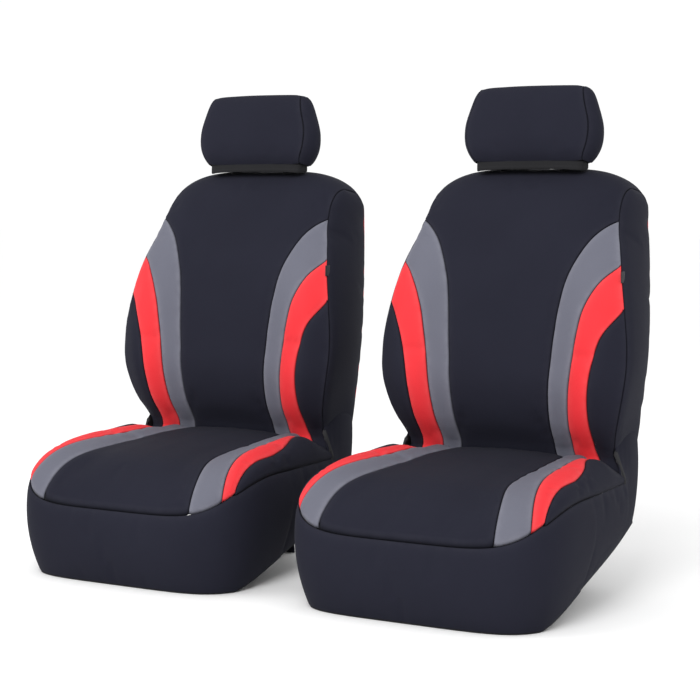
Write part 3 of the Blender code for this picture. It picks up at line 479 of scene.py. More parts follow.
def mesh_piece(name, points, faces, cloths):
    """An object at the origin with its place in its mesh."""
    mesh = bpy.data.meshes.new(name)
    mesh.from_pydata(np.asarray(points).reshape(-1, 3).tolist(), [], faces)
    mesh.polygons.foreach_set("use_smooth", np.full(len(mesh.polygons), True))
    for cloth in cloths:
        mesh.materials.append(cloth)
    piece = bpy.data.objects.new(name, mesh)
    bpy.context.scene.collection.objects.link(piece)
    return piece


def give_flat(piece, flat, edge):
    """Stores each point's place on the flat cut as the UV map, in metres, and its seam mask for painted seam
    shade and highlight.
    """
    mesh = piece.data
    corner = np.empty(len(mesh.loops), np.int32)
    mesh.loops.foreach_get("vertex_index", corner)
    places = flat.reshape(-1, 2)[corner].astype(np.float32)
    mesh.uv_layers.new(name="UVMap").data.foreach_set("uv", places.ravel())
    shades = mesh.attributes.new("edge", "FLOAT", "POINT")
    shades.data.foreach_set("value", edge.astype(np.float32).ravel())


def grid_faces(m, n, wrap_rows=False, wrap_columns=False):
    """Quads of a grid of m rows and n columns, joined round where it wraps."""
    index = np.arange(m * n).reshape(m, n)
    index = np.concatenate([index, index[:1]]) if wrap_rows else index
    index = np.concatenate([index, index[:, :1]], 1) if wrap_columns else index
    return np.stack([index[:-1, :-1], index[1:, :-1], index[1:, 1:], index[:-1, 1:]], -1).reshape(-1, 4)


def sew(name, panel, cloth, shift, thickness=CLOTH):
    """Makes a panel's piece: its grid, with its thickness inside and its backing on the inner face."""
    points = panel["points"] + shift
    faces = grid_faces(*points.shape[:2])
    face = np.cross(np.gradient(points, axis=0), np.gradient(points, axis=1))
    if (face * outwards(points, panel["towards"])).sum() < 0:
        faces = faces[:, ::-1]
    piece = mesh_piece(name, points, faces.tolist(), [cloth, BACKING])
    give_flat(piece, panel["flat"], panel["edge"])
    wall = piece.modifiers.new("thickness", "SOLIDIFY")
    wall.thickness, wall.offset, wall.material_offset, wall.use_rim = thickness, -1.0, 1, True
    return piece


# ---- Finishes ----
def group(name, inputs, outputs):
    """An empty shader node group with named sockets, and its own input and output nodes."""
    tree = bpy.data.node_groups.new(name, "ShaderNodeTree")
    for label, kind, value in inputs:
        socket = tree.interface.new_socket(label, in_out="INPUT", socket_type=f"NodeSocket{kind}")
        if value is not None:
            socket.default_value = value
    for label, kind in outputs:
        tree.interface.new_socket(label, in_out="OUTPUT", socket_type=f"NodeSocket{kind}")
    return tree, tree.nodes.new("NodeGroupInput"), tree.nodes.new("NodeGroupOutput")


def wire(tree, node, **values):
    """Sets or links a node's inputs by label, with _ for a space, or by n and their number."""
    for label, value in values.items():
        socket = node.inputs[int(label[1:]) if label.startswith("n") else label.replace("_", " ")]
        if isinstance(value, bpy.types.NodeSocket):
            tree.links.new(value, socket)
        else:
            socket.default_value = value
    return node


def maths(tree, operation, a, b=0.0):
    node = tree.nodes.new("ShaderNodeMath")
    node.operation = operation
    return wire(tree, node, n0=a, n1=b).outputs[0]


def blend_colours(tree, share, a, b):
    node = tree.nodes.new("ShaderNodeMix")
    node.data_type = "RGBA"
    wire(tree, node, n0=share, n6=a, n7=b)
    return node.outputs[2]


def noise(tree, vector, scale, detail=2.0, roughness=0.5):
    node = tree.nodes.new("ShaderNodeTexNoise")
    return wire(tree, node, Vector=vector, Scale=scale, Detail=detail, Roughness=roughness).outputs["Fac"]


def knit_group():
    """Warp knit: ribs |sin(pi x)| across, loops staggered from rib to rib, and uneven yarn."""
    inputs = [("Flat", "Vector", None), ("Rib", "Float", 0.0011), ("Loop", "Float", 0.0009)]
    tree, into, out = group("warp_knit", inputs, [("Height", "Float"), ("Yarn", "Float")])
    split = wire(tree, tree.nodes.new("ShaderNodeSeparateXYZ"), Vector=into.outputs["Flat"])
    x = maths(tree, "DIVIDE", split.outputs["X"], into.outputs["Rib"])
    y = maths(tree, "DIVIDE", split.outputs["Y"], into.outputs["Loop"])
    rib = maths(tree, "ABSOLUTE", maths(tree, "SINE", maths(tree, "MULTIPLY", x, pi)))
    stagger = maths(tree, "MULTIPLY", maths(tree, "FLOOR", x), pi)
    loop = maths(tree, "SINE", maths(tree, "ADD", maths(tree, "MULTIPLY", y, TAU), stagger))
    loops = maths(tree, "ADD", maths(tree, "MULTIPLY", loop, 0.25), 0.75)
    yarn = noise(tree, into.outputs["Flat"], 900.0, 2.0, 0.6)
    tree.links.new(maths(tree, "MULTIPLY", rib, loops), out.inputs["Height"])
    tree.links.new(yarn, out.inputs["Yarn"])
    return tree


def tone_wear_and_seam_light_group():
    """Slow random tone changes over the whole cover, a painted highlight, partly wear, on the cloth that
    rolls into a seam, and painted shade deep in the seam.
    """
    tree, into, out = group("seam_wear", [("Place", "Vector", None), ("Edge", "Float", 0.0)],
                            [("Shade", "Float"), ("Rubbed", "Float"), ("Deep", "Float")])
    slow = noise(tree, into.outputs["Place"], 5.0, 3.0, 0.55)
    patch = noise(tree, into.outputs["Place"], 60.0, 2.0, 0.5)
    edge = into.outputs["Edge"]
    # Painted highlight, partly wear, in patches along the cloth that rolls into a seam.
    rubbed = maths(tree, "MULTIPLY", edge, maths(tree, "SUBTRACT", 1.0, edge))
    rubbed = maths(tree, "MULTIPLY", rubbed, patch)
    tree.links.new(slow, out.inputs["Shade"])
    tree.links.new(maths(tree, "MULTIPLY", rubbed, 3.0), out.inputs["Rubbed"])
    # Painted shade deep in the seam.
    tree.links.new(maths(tree, "POWER", edge, 4.0), out.inputs["Deep"])
    return tree


KNIT, TONE_WEAR_AND_SEAM_LIGHT = knit_group(), tone_wear_and_seam_light_group()


def cloth_material(name, dark, light, rib, loop, roughness=0.72, sheen=0.04, highlight_and_wear_colour=(0.060, 0.060, 0.075),
                   specular=0.12):
    """Knitted or woven cloth: dark between the yarns and light on them, with a painted highlight, partly
    wear, where it rolls into a seam and painted shade deep in the seams.
    """
    made = bpy.data.materials.new(name)
    made.use_nodes = True
    tree = made.node_tree
    shader = tree.nodes["Principled BSDF"]
    place = tree.nodes.new("ShaderNodeTexCoord")
    edge = tree.nodes.new("ShaderNodeAttribute")
    edge.attribute_name = "edge"
    knit, wear = tree.nodes.new("ShaderNodeGroup"), tree.nodes.new("ShaderNodeGroup")
    knit.node_tree, wear.node_tree = KNIT, TONE_WEAR_AND_SEAM_LIGHT
    wire(tree, knit, Flat=place.outputs["UV"], Rib=rib, Loop=loop)
    wire(tree, wear, Place=place.outputs["Object"], Edge=edge.outputs["Fac"])
    share = maths(tree, "ADD", maths(tree, "MULTIPLY", knit.outputs["Height"], 0.35),
                  maths(tree, "MULTIPLY", knit.outputs["Yarn"], 0.30))
    share = maths(tree, "ADD", share, maths(tree, "MULTIPLY", wear.outputs["Shade"], 0.35))
    colour = blend_colours(tree, share, (*dark, 1), (*light, 1))
    # Painted highlight, partly wear: a lighter band where the cloth rolls into each seam.
    colour = blend_colours(tree, maths(tree, "MULTIPLY", wear.outputs["Rubbed"], 0.20), colour, (*highlight_and_wear_colour, 1))
    # Painted shade: darker deep in each seam, where the groove lies in shade.
    colour = blend_colours(tree, maths(tree, "MULTIPLY", wear.outputs["Deep"], 0.85), colour,
                           tuple(0.15 * c for c in dark) + (1,))
    relief = tree.nodes.new("ShaderNodeBump")
    wire(tree, relief, Strength=0.25, Distance=0.0004, Height=knit.outputs["Height"])
    rough = maths(tree, "ADD", maths(tree, "MULTIPLY", knit.outputs["Yarn"], 0.16), roughness - 0.08)
    wire(tree, shader, Base_Color=colour, Roughness=rough, Normal=relief.outputs["Normal"])
    wire(tree, shader, Sheen_Weight=sheen, Sheen_Roughness=0.4, Specular_IOR_Level=specular)
    return made


# Each cloth's third colour is the colour of its painted seam highlight, partly wear.
BLACK = cloth_material("black_polyester", (0.0085, 0.0087, 0.0145), (0.0215, 0.0222, 0.0350), 0.0011, 0.0009,
                       roughness=0.85, sheen=0.02, specular=0.06)
GREY = cloth_material("grey_polyester", (0.088, 0.090, 0.117), (0.146, 0.149, 0.185), 0.0013, 0.0011,
                      highlight_and_wear_colour=(0.48, 0.48, 0.54))
RED = cloth_material("red_polyester", (0.58, 0.014, 0.020), (0.84, 0.050, 0.060), 0.0012, 0.0010,
                     highlight_and_wear_colour=(1.0, 0.25, 0.25))
BACKING = cloth_material("foam_backing", (0.020, 0.020, 0.022), (0.045, 0.045, 0.048), 0.0030, 0.0030, 0.9)
ELASTIC = cloth_material("black_elastic", (0.006, 0.006, 0.007), (0.022, 0.022, 0.024), 0.0014, 0.0022, 0.8)
WEBBING = cloth_material("black_webbing", (0.008, 0.008, 0.009), (0.030, 0.030, 0.032), 0.0024, 0.0020, 0.75)
LABEL = cloth_material("label_cloth", (0.020, 0.020, 0.024), (0.060, 0.060, 0.066), 0.0006, 0.0006, 0.6)


def plastic_material():
    """Moulded plastic: fine grain in the surface, a little lighter where it is rubbed."""
    made = bpy.data.materials.new("buckle_plastic")
    made.use_nodes = True
    tree = made.node_tree
    place = tree.nodes.new("ShaderNodeTexCoord").outputs["Object"]
    grain = noise(tree, place, 1400.0, 2.0)
    rubbed = noise(tree, place, 40.0)
    colour = blend_colours(tree, rubbed, (0.012, 0.012, 0.013, 1), (0.028, 0.028, 0.030, 1))
    relief = wire(tree, tree.nodes.new("ShaderNodeBump"), Strength=0.2, Distance=0.0002, Height=grain)
    wire(tree, tree.nodes["Principled BSDF"], Base_Color=colour, Normal=relief.outputs["Normal"],
         Roughness=maths(tree, "ADD", maths(tree, "MULTIPLY", grain, 0.2), 0.35))
    return made


PLASTIC = plastic_material()


# ---- The back cover's panels, worked out once for the left side and the middle ----
def back_panels():
    """(part name, panel, cloth) for the back; left panels are mirrored for the right."""
    made = []
    foot = CREASE_TUCK / TOP_START
    rows = stations(lambda v: back(0 * v, v), foot, REAR_TURN)
    half = back_share(rows, BACK_GREY)
    width = 2 * half * curve(rows * TOP_START, BACK_WIDTH)
    across = mix(-half[:, None], half[:, None], columns(width))
    corner, at_edge = back_corner(rows), (half > 0.999)[:, None]
    turns = [None, None] + [np.where(at_edge, corner * np.array([s, 1, 1]), outwards_row(rows, s * half))
                            for s in (-1, 1)]
    panel = upholster(back(across, rows[:, None]), (0, -1, 0.2), (0, 1, 1, 1), turns)
    made.append(("back_centre_panel", panel, BLACK))
    for piece, low, high, cloth in (("grey_stripe", BACK_GREY, BACK_RED, GREY),
                                    ("red_stripe", BACK_RED, BACK_OUTER, RED),
                                    ("outer_panel", BACK_OUTER, None, BLACK)):
        tip = low[-1][0] / TOP_START

        def border(stops, v):
            return back_share(v, stops) if stops else np.ones_like(v)

        rows = stations(lambda v: back(border(low, v), v), foot, tip)
        rows[-1] = mix(rows[-2], rows[-1], 0.9)
        first, last = border(low, rows), border(high, rows)
        width = np.maximum((last - first) * curve(rows * TOP_START, BACK_WIDTH), 0.0004)
        across = mix(first[:, None], last[:, None], columns(width))
        outer = np.where((last > 0.999)[:, None], back_corner(rows), outwards_row(rows, last))
        turns = (None, None, outwards_row(rows, first), outer)
        panel = upholster(back(across, rows[:, None]), (0, -1, 0.2), (0, 1, 1, 1), turns)
        made.append((f"back_{piece}", panel, cloth))
    return made


def outwards_row(rows, shares):
    """The back's own outward direction along a panel line."""
    return slope(back, np.clip(shares, -0.97, 0.97), np.clip(rows, -0.2, 1.998))


SIDE_ROWS = np.array((0.020, 0.05, 0.085, 0.12, 0.16, 0.20, 0.25, 0.30, 0.345, 0.39, 0.435, 0.475, 0.505))
FRONT_LINE = np.concatenate([SIDE_ROWS / TOP_START, (1.0, 1.1, 1.2, 1.3, 1.4)])
REAR_COUNT = len(FRONT_LINE) - 4
REAR_LINE = np.concatenate([rear_edge(np.linspace(REAR_FOOT, 0.485, REAR_COUNT)),
                            back(1.0, np.array([REAR_TURN, 1.78, 1.7, 1.6]))])


def front_at(row):
    """The front seam's parameter v at a row of the side panel."""
    return curve(row, np.stack([np.arange(len(FRONT_LINE)), FRONT_LINE], -1))


def side(row, share):
    """The back's side panel: share from front to rear, rows from the round joint up to the shoulder.

    Rows -1 to 0 are the part that hangs inside the skirt, down from the round joint.
    """
    row, share = np.broadcast_arrays(np.asarray(row, float), np.asarray(share, float))
    last = len(FRONT_LINE) - 1
    up = (np.maximum(row, 0) / last)[..., None]
    hung = np.maximum(-row, 0)[..., None]
    front_v = np.where(row < 0, mix(BACK_FOOT, CREASE_TUCK, hung[..., 0]) / TOP_START, front_at(row))
    rear = through(row, REAR_LINE) - hung * np.array([0, 0, 0.055])
    points = mix(back(1.0, front_v), rear, share[..., None])
    foot = mix(back(1.0, front_at(0.0)), REAR_LINE[0], share[..., None])
    points = points + (pivot_arc(share) - foot) * (1 - up) ** 3 * np.array([0, 1, 1])
    swell = side_swell(share)[..., None] * (0.45 + 0.55 * np.sin(pi * up)) * (1 - up**8) * (1 - hung)
    points = points - np.array([0.0065, 0, 0]) * smooth(hung / 0.35)
    points = points + swell * np.array([1, 0, 0])
    top = back(1.0, mix(1.4, 1.6, share))
    return mix(points, top, smooth((row - last + 1)[..., None]))


REAR_SEAM_OUT = unit(np.array([1.0, cos(RECLINE), -sin(RECLINE)]))


def side_panel():
    """The back's left side, from inside the skirt up to the shoulder."""
    last = len(FRONT_LINE) - 1
    rows = stations(lambda r: side(r, 0.5), -1.0, float(last))
    width = np.linalg.norm(side(rows, 1.0) - side(rows, 0.0), axis=-1)
    points = side(rows[:, None], columns(width))
    shoulder = back_corner(np.linspace(1.4, 1.6, points.shape[1]))
    front = back_corner(np.maximum(front_at(rows), 0.01))
    turns = (None, shoulder, front, np.broadcast_to(REAR_SEAM_OUT, (len(rows), 3)))
    return upholster(points, (1, 0, 0), (0, 1, 1, 1), turns)


def rear_panel():
    """The back's rear: straight across between the two rear seams, swelling between them."""
    def point(across, row):
        across, row = np.broadcast_arrays(np.asarray(across, float), np.asarray(row, float))
        edge = through(np.minimum(row, REAR_COUNT - 1), REAR_LINE)
        level = np.clip(row / (REAR_COUNT - 1), 0, 1)
        swell = REAR_BULGE * (1 - across**2) * (0.3 + 0.7 * np.sin(pi * level))
        flat = edge * np.stack([across, 1 + 0 * across, 1 + 0 * across], -1)
        flat = flat + swell[..., None] * np.array([0, cos(RECLINE), -sin(RECLINE)])
        return mix(flat, back(across, REAR_TURN), np.clip(row - REAR_COUNT + 1, 0, 1)[..., None])

    rows = stations(lambda r: point(0 * r, r), 0.0, float(REAR_COUNT))
    width = 2 * through(rows, REAR_LINE)[:, 0]
    points = point(2 * columns(width) - 1, rows[:, None])
    seam = np.broadcast_to(REAR_SEAM_OUT, (len(rows), 3))
    return upholster(points, (0, 1, 0), (0, 1, 1, 1), (None, None, seam * FLIP, seam))


# ---- The headrest cover ----
def head_wrap():
    """The headrest's front, top and rear in one strip, open below."""
    rows = stations(lambda t: head(0 * t, t), HEAD_FOOT, 2 - HEAD_FOOT)
    width = 2 * np.abs(head(1.0, rows)[:, 0])
    corner = head_corner(rows)
    points = head(2 * columns(width) - 1, rows[:, None])
    away = points - (head(0.0, 1.0) + head(0.0, -1.0)) / 2
    turns = (None, None, corner * FLIP, corner)
    return upholster(points, away, (0, 0, 1, 1), turns, cap=0.002)


def head_gusset():
    """The headrest's left side: straight between the front and rear seams, swelling outwards."""
    top = 0.92

    def point(turn, share):
        turn, share = np.broadcast_arrays(np.asarray(turn, float), np.asarray(share, float))
        level = ((turn - HEAD_FOOT) / (top - HEAD_FOOT))[..., None]
        flat = mix(head(1.0, turn), head(1.0, 2 - turn), share[..., None])
        swell = (HEAD_SIDE_BULGE * 4 * share * (1 - share))[..., None]
        flat = flat + swell * (0.35 + 0.65 * np.sin(pi * level)) * (1 - level**8) * np.array([1, 0, 0])
        return mix(flat, head(1.0, mix(turn, 2 - turn, share)), smooth((level - 0.9) / 0.1))

    rows = stations(lambda t: point(t, 0.5), HEAD_FOOT, top)
    width = np.linalg.norm(point(rows, 1.0) - point(rows, 0.0), axis=-1)
    points = point(rows[:, None], columns(width))
    across = mix(top, 2 - top, np.linspace(0, 1, points.shape[1]))
    turns = (None, head_corner(across), head_corner(rows), head_corner(2 - rows))
    return upholster(points, (1, 0, 0), (0, 1, 1, 1), turns, cap=0.002)


# ---- The cushion cover ----
OUTER_TIP_Y = float(outline(CUSHION_OUTER[-1][1]))


def cushion_line(stops, share):
    """A panel line on the cushion, from the crease to the front seam: (x, y)."""
    share = np.asarray(share, float)
    return np.stack([curve(share, stops), mix(CUSHION_REAR, outline(stops[-1][1]), share)], -1)


def cushion_border(share):
    """The cushion's left edge, from the crease to where the outer panel ends."""
    y = mix(CUSHION_REAR, OUTER_TIP_Y, np.asarray(share, float))
    return np.stack([curve(y, CUSHION_WIDTH) * narrowing(before(y)), y], -1)


def cushion_panel(first, last, tip=False):
    """A top panel between two lines, its front end drawn onto the front seam."""
    def middle(t):
        flat = mix(first(t), last(t), 0.5)
        pull = 0 if tip else smooth((t - 0.75) / 0.25)
        return cushion(flat[..., 0], mix(flat[..., 1], outline(flat[..., 0]), pull))

    rows = stations(middle, 0.0, 1.0)
    if tip:
        rows[-1] = mix(rows[-2], rows[-1], 0.9)
    a, b = first(rows), last(rows)
    width = np.maximum(np.linalg.norm(b - a, axis=-1), 0.0004)
    share = columns(width)
    flat = mix(a[:, None], b[:, None], share[..., None])
    if not tip:
        front = outline(flat[-1, :, 0]) - flat[-1, :, 1]
        flat[..., 1] += front * smooth((rows[:, None] - 0.6) / 0.4)
    points = cushion(flat[..., 0], flat[..., 1])
    lip = cushion_lip(flat[-1, :, 0], flat[-1, :, 1])
    inner, border = (slope(cushion, flat[:, i, 0], flat[:, i, 1]) for i in (0, -1))
    border = cushion_lip(flat[:, -1, 0], flat[:, -1, 1]) if tip else border
    last = seam_depth(flat[:, -1, 1]) if tip else 1
    return upholster(points, (0, 0, 1), (0.9, 1, 1, last), (None, lip, inner, border))


def flip(line):
    """The same line on the cushion's other side."""
    return lambda t: line(t) * FLIP[:2]


def cushion_panels():
    """(part name, panel, cloth) for the cushion; left panels are mirrored for the right."""
    grey, red = (lambda t, stops=stops: cushion_line(stops, t) for stops in (CUSHION_GREY, CUSHION_RED))

    def outer_edge(t):
        return np.stack([curve(t, CUSHION_OUTER), cushion_border(t)[..., 1]], -1)

    return [("cushion_centre_panel", cushion_panel(flip(grey), grey), BLACK),
            ("cushion_grey_stripe", cushion_panel(grey, red), GREY),
            ("cushion_red_stripe", cushion_panel(red, outer_edge), RED),
            ("cushion_outer_panel", cushion_panel(outer_edge, cushion_border, tip=True), BLACK)]


def seam_depth(y):
    """How far the cushion's edge seam is drawn in: fully round the front, little along the sides."""
    return 1 - 0.013 * smooth((y - CORNER_START) / 0.08)


def skirt_lines():
    """The skirt's lip as a dense line, from the left rear round the front to the right rear, and how far
    each point is sewn.

    The lip follows the round joint, drops to the cushion's rear corner and runs along its edge;
    skirt_frame() finds the hem, level in front and rising behind HEM_FLAT.
    """
    arc = pivot_arc(np.linspace(1, 0, 120))
    arc[:, 0] += side_swell(np.linspace(1, 0, 120)) * 0.45
    edge = cushion_border(np.linspace(0, 1, 240))
    front_x = np.linspace(edge[-1, 0], 0, 200)[1:]
    flat = np.concatenate([edge, np.stack([front_x, outline(front_x)], -1)])
    lip = cushion(flat[:, 0], flat[:, 1])
    sewn = np.concatenate([np.zeros(len(arc)), seam_depth(flat[:, 1])])
    half = np.concatenate([arc, lip])
    flipped = half[:-1][::-1] * FLIP
    return np.concatenate([half, flipped]), np.concatenate([sewn, sewn[:-1][::-1]])


def skirt_frame(lip):
    """The hem below each point of the lip, and the level direction outwards there."""
    x, y = lip[:, 0], lip[:, 1]
    rear_y = np.interp(y, (CORNER_START, 0.141), (CORNER_START, SKIRT_REAR[0]))
    ahead = y < CORNER_START
    hem_y = np.where(ahead, CORNER_START + (y - CORNER_START) * HEM_DEPTH / CORNER_DEPTH, rear_y)
    hem_x = np.where(ahead, x * HEM_WIDTH[0][1] / CUSHION_WIDTH[0][1], np.sign(x) * curve(hem_y, HEM_WIDTH))
    hem = np.stack([hem_x, hem_y, np.maximum(0, hem_y - HEM_FLAT) * HEM_RISE], -1)
    out = side_out(x, y)
    out[np.abs(x) < 1e-9] = (0, -1, 0)
    return hem, out


def along_lip(step):
    """Evenly walked points of the lip, and how far each is sewn to the cushion's top."""
    lip, sewn = skirt_lines()
    far = distances(lip)
    at = np.linspace(0, far[-1], int(far[-1] / step) | 1)
    return np.stack([np.interp(at, far, lip[:, i]) for i in range(3)], -1), np.interp(at, far, sewn)


def skirt_panel():
    """The skirt: from the lip down to the hem, swelling outwards between them."""
    lip, sewn = along_lip(STEP)
    hem, out = skirt_frame(lip)
    top = hem + np.array([0, 0, BINDING[1] * 0.6])
    height = np.linalg.norm(lip - top, axis=1)
    down = columns(height)
    ear = 1 - smooth((CUSHION_REAR + 0.05 - lip[:, 1]) / 0.05)
    swell = SKIRT_BULGE * 4 * down * (1 - down) * mix(1.0, 0.45, ear)[:, None]
    points = mix(lip[:, None], top[:, None], down[..., None]) + out[:, None] * swell[..., None]
    lips = np.where((sewn > 0.5)[:, None], cushion_lip(lip[:, 0], lip[:, 1]), out)
    points = np.swapaxes(points, 0, 1)
    return upholster(points, np.broadcast_to(out, points.shape), (sewn, 0, 1, 1), (lips, None, None, None))


# ---- Bands, cords and small parts ----
def band(name, path, sideways, radii, cloth, closed=False, sides=12, roundness=0.5, tall=1.0):
    """A superellipse section carried along a path; sideways gives its first axis, tall its growth."""
    path = np.asarray(path, float)
    ahead = unit((np.roll(path, -1, 0) - np.roll(path, 1, 0)) if closed else np.gradient(path, axis=0))
    first = unit(sideways - (sideways * ahead).sum(-1, keepdims=True) * ahead)
    second = np.cross(ahead, first)
    angle = np.arange(sides) * TAU / sides
    around = power(np.cos(angle), roundness) * radii[0], power(np.sin(angle), roundness) * radii[1]
    grown = np.broadcast_to(tall, len(path))[:, None, None]
    points = path[:, None] + first[:, None] * around[0][:, None]
    points = points + second[:, None] * around[1][:, None] * grown
    count = len(path)
    faces = grid_faces(count, sides, closed, True)
    middle = points.mean(1, keepdims=True)
    face = np.cross(np.roll(points, -1, 1) - points, np.gradient(points, axis=0))
    outward = (face * (points - middle)).sum() > 0
    faces = (faces if not outward else faces[:, ::-1]).tolist()
    if not closed:
        ring = np.arange(sides)[:: -1 if outward else 1]
        faces += [ring.tolist(), (ring + (count - 1) * sides)[::-1].tolist()]
    piece = mesh_piece(name, points, faces, [cloth])
    flat = np.stack(np.broadcast_arrays(angle[None] * radii[1], distances(path)[:, None]), -1)
    give_flat(piece, flat, np.full(points.shape[:2], 0.0))
    return piece


def back_piping(name, shift):
    """Red piping up the left rear seam, over the rear panel's top and down the right."""
    rows = np.linspace(0.25, REAR_COUNT, 150)
    up = through(rows, REAR_LINE)
    side_u = np.cos(np.linspace(0, pi, 90))[1:-1]
    over = back(side_u, REAR_TURN)
    out_up = np.broadcast_to(REAR_SEAM_OUT, up.shape)
    out_over = outwards_row(np.full(len(side_u), REAR_TURN), side_u)
    path = np.concatenate([up, over, up[::-1] * FLIP])
    out = np.concatenate([out_up, out_over, out_up * FLIP])
    inwards = np.array([PIPE_INSET, 0, 0]) * np.clip(path[:, :1] / 0.15, -1, 1)
    path = path + np.array([0, 0.0004, 0]) - inwards
    return band(name, path + shift, out, (PIPE_RADIUS, PIPE_RADIUS), RED, sides=10, roundness=1.0)


def hem_binding(name, shift):
    """Elastic folded over the skirt's lower edge."""
    lip, _ = along_lip(STEP)
    hem, out = skirt_frame(lip)
    path = hem + np.array([0, 0, BINDING[1] / 2]) - out * CLOTH / 2
    radii = (BINDING[0] / 2, BINDING[1] / 2)
    return band(name, path + shift, out, radii, ELASTIC, sides=16, roundness=0.55)


def head_elastic(name, shift):
    """A flat elastic ring round the headrest cover's opening.

    It laps over the wrap's foot, and its lower edge dips with the back's top and further in front.
    """
    depth, height = head_loop(HEAD_FOOT)
    wide = float(curve(height / HEAD_HEIGHT, HEAD_WIDTH)) - 0.003
    ring = np.linspace(0, TAU, 160, endpoint=False)
    reach = (HEAD_FRONT + HEAD_DEPTH / 2 - depth) * power(np.sin(ring), 0.35)
    across = wide * power(np.cos(ring), 0.35)
    share = np.abs(across) / curve(TOP, BACK_WIDTH)
    drop = BACK_CROWN * share**2 + SHOULDER_DROP * share**5 + RING_DIP * smooth(0.5 - reach / 0.05)
    path = lean(across, HEAD_FRONT + HEAD_DEPTH / 2 + reach, HEAD_BASE + (BAND + RING_LAP - drop) / 2)
    return band(name, path + shift, path - path.mean(0), (RING_THICK / 2, BAND / 2), ELASTIC, closed=True,
                tall=1 + (drop + RING_LAP) / BAND)


def tuck_flap():
    """The cloth that goes down through the crease: a smooth line from the crease to the ground."""
    line = np.array([(0, 0.0060, 0.2860), (0, 0.0080, 0.2700), (0, 0.0110, 0.2600), (0, 0.0220, 0.2300),
                     (0, 0.0420, 0.1600), (0, 0.0600, 0.0700), (0, FLAP_FOOT_Y, 0.0)])
    rows, count = 60, 40
    drop = through(np.linspace(0, len(line) - 1, rows), line)
    across = np.linspace(-FLAP_WIDTH, FLAP_WIDTH, count)
    points = np.broadcast_to(drop[:, None], (rows, count, 3)).copy()
    points[..., 0] = across
    level = np.linspace(0, 1, rows)[:, None]
    points[..., 1] += 0.0018 * np.sin(TAU * across / 0.08 + 0.8) * np.sin(pi * level)
    return upholster(points, (0, -1, 0), (0, 0, 0, 0), pressure=0, puff=0.0)


def side_tag():
    """A small folded tag in the left front seam: a strip bent round into a loop, and left blank."""
    at = back(1.0, TAG_HEIGHT / TOP_START) + TAG_OFFSET
    t = np.linspace(0, 1, 24)
    reach = -0.004 + TAG_LENGTH * 0.9 * np.sin(pi * t) ** 0.8
    loop = np.stack([TAG_FOLD * np.sin(TAU * t), reach, 0 * t], -1)
    rows = np.linspace(-TAG_WIDTH / 2, TAG_WIDTH / 2, 14)
    points = at + loop[None] + np.stack([0 * rows, 0 * rows, rows], -1)[:, None]
    left, _ = walked(points, 1)
    down, _ = walked(points, 0)
    return {"points": points, "flat": np.stack([left, down], -1), "edge": 0 * left,
            "towards": np.array([1.0, 0, 0])}


# ---- Putting the covers together ----
def dress(piece, seat, body, cloth, *nodes):
    """Hides the nodes a piece replaces and hangs it on the body it rides; a piece that bends is only baked
    where it stands. The cloth it is given is not used.
    """
    if nodes:
        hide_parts(*[f"{seat}_{node}" for node in nodes])
    if body == "bends":
        along = lean(0.0, 0.0, np.array([BLEND_LOW, BLEND_HIGH])) + POSITIONS[seat]
        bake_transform(piece)
    else:
        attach(piece, f"{seat}_{body}")


def cut_post_holes(panel, shift):
    """Cuts the two round holes for the headrest's posts through the panel and its backing."""
    cutters = []
    for side_of in (1, -1):
        line = lean(side_of * POST_SPACING / 2, POST_DEPTH, np.linspace(TOP - 0.02, TOP + 0.02, 2))
        sideways = np.array([1.0, 0, 0])
        cutters.append(band("cutter", line + shift, sideways, (POST_RADIUS,) * 2, BLACK, sides=32,
                            roundness=1))
        hole = panel.modifiers.new(f"post_hole_{len(cutters)}", "BOOLEAN")
        hole.operation, hole.solver, hole.object = "DIFFERENCE", "EXACT", cutters[-1]
    graph = bpy.context.evaluated_depsgraph_get()
    cut = bpy.data.meshes.new_from_object(panel.evaluated_get(graph), depsgraph=graph)
    panel.modifiers.clear()
    panel.data = cut
    for cutter in cutters:
        bpy.data.objects.remove(cutter)


def post_ring(name, side_of, shift):
    """Overlocked edge of a post hole: a fine cord round it, just proud of the cloth."""
    turn = np.linspace(0, TAU, 48, endpoint=False)
    radius = POST_RADIUS + 0.0006
    x = side_of * POST_SPACING / 2 + radius * np.cos(turn)
    depth = POST_DEPTH + radius * np.sin(turn)
    v = 1.0 + np.arccos(np.clip(power(1 - 2 * depth / BACK_DEPTH, 1 / 0.75), -1, 1)) / pi
    u = x / curve(np.full(len(turn), TOP), BACK_WIDTH)
    out = outwards_row(v, u)
    path = back(u, v) + out * (PUFF - 0.0004)
    return band(name, path + shift, out, (0.0011, 0.0011), ELASTIC, closed=True, sides=8, roundness=1)


BACK = back_panels()
SIDE, REAR = side_panel(), rear_panel()
WRAP, GUSSET = head_wrap(), head_gusset()
CUSHION, SKIRT = cushion_panels(), skirt_panel()
PANELS = BACK + [("back_side_panel", SIDE, BLACK), ("head_gusset", GUSSET, BLACK)] + CUSHION

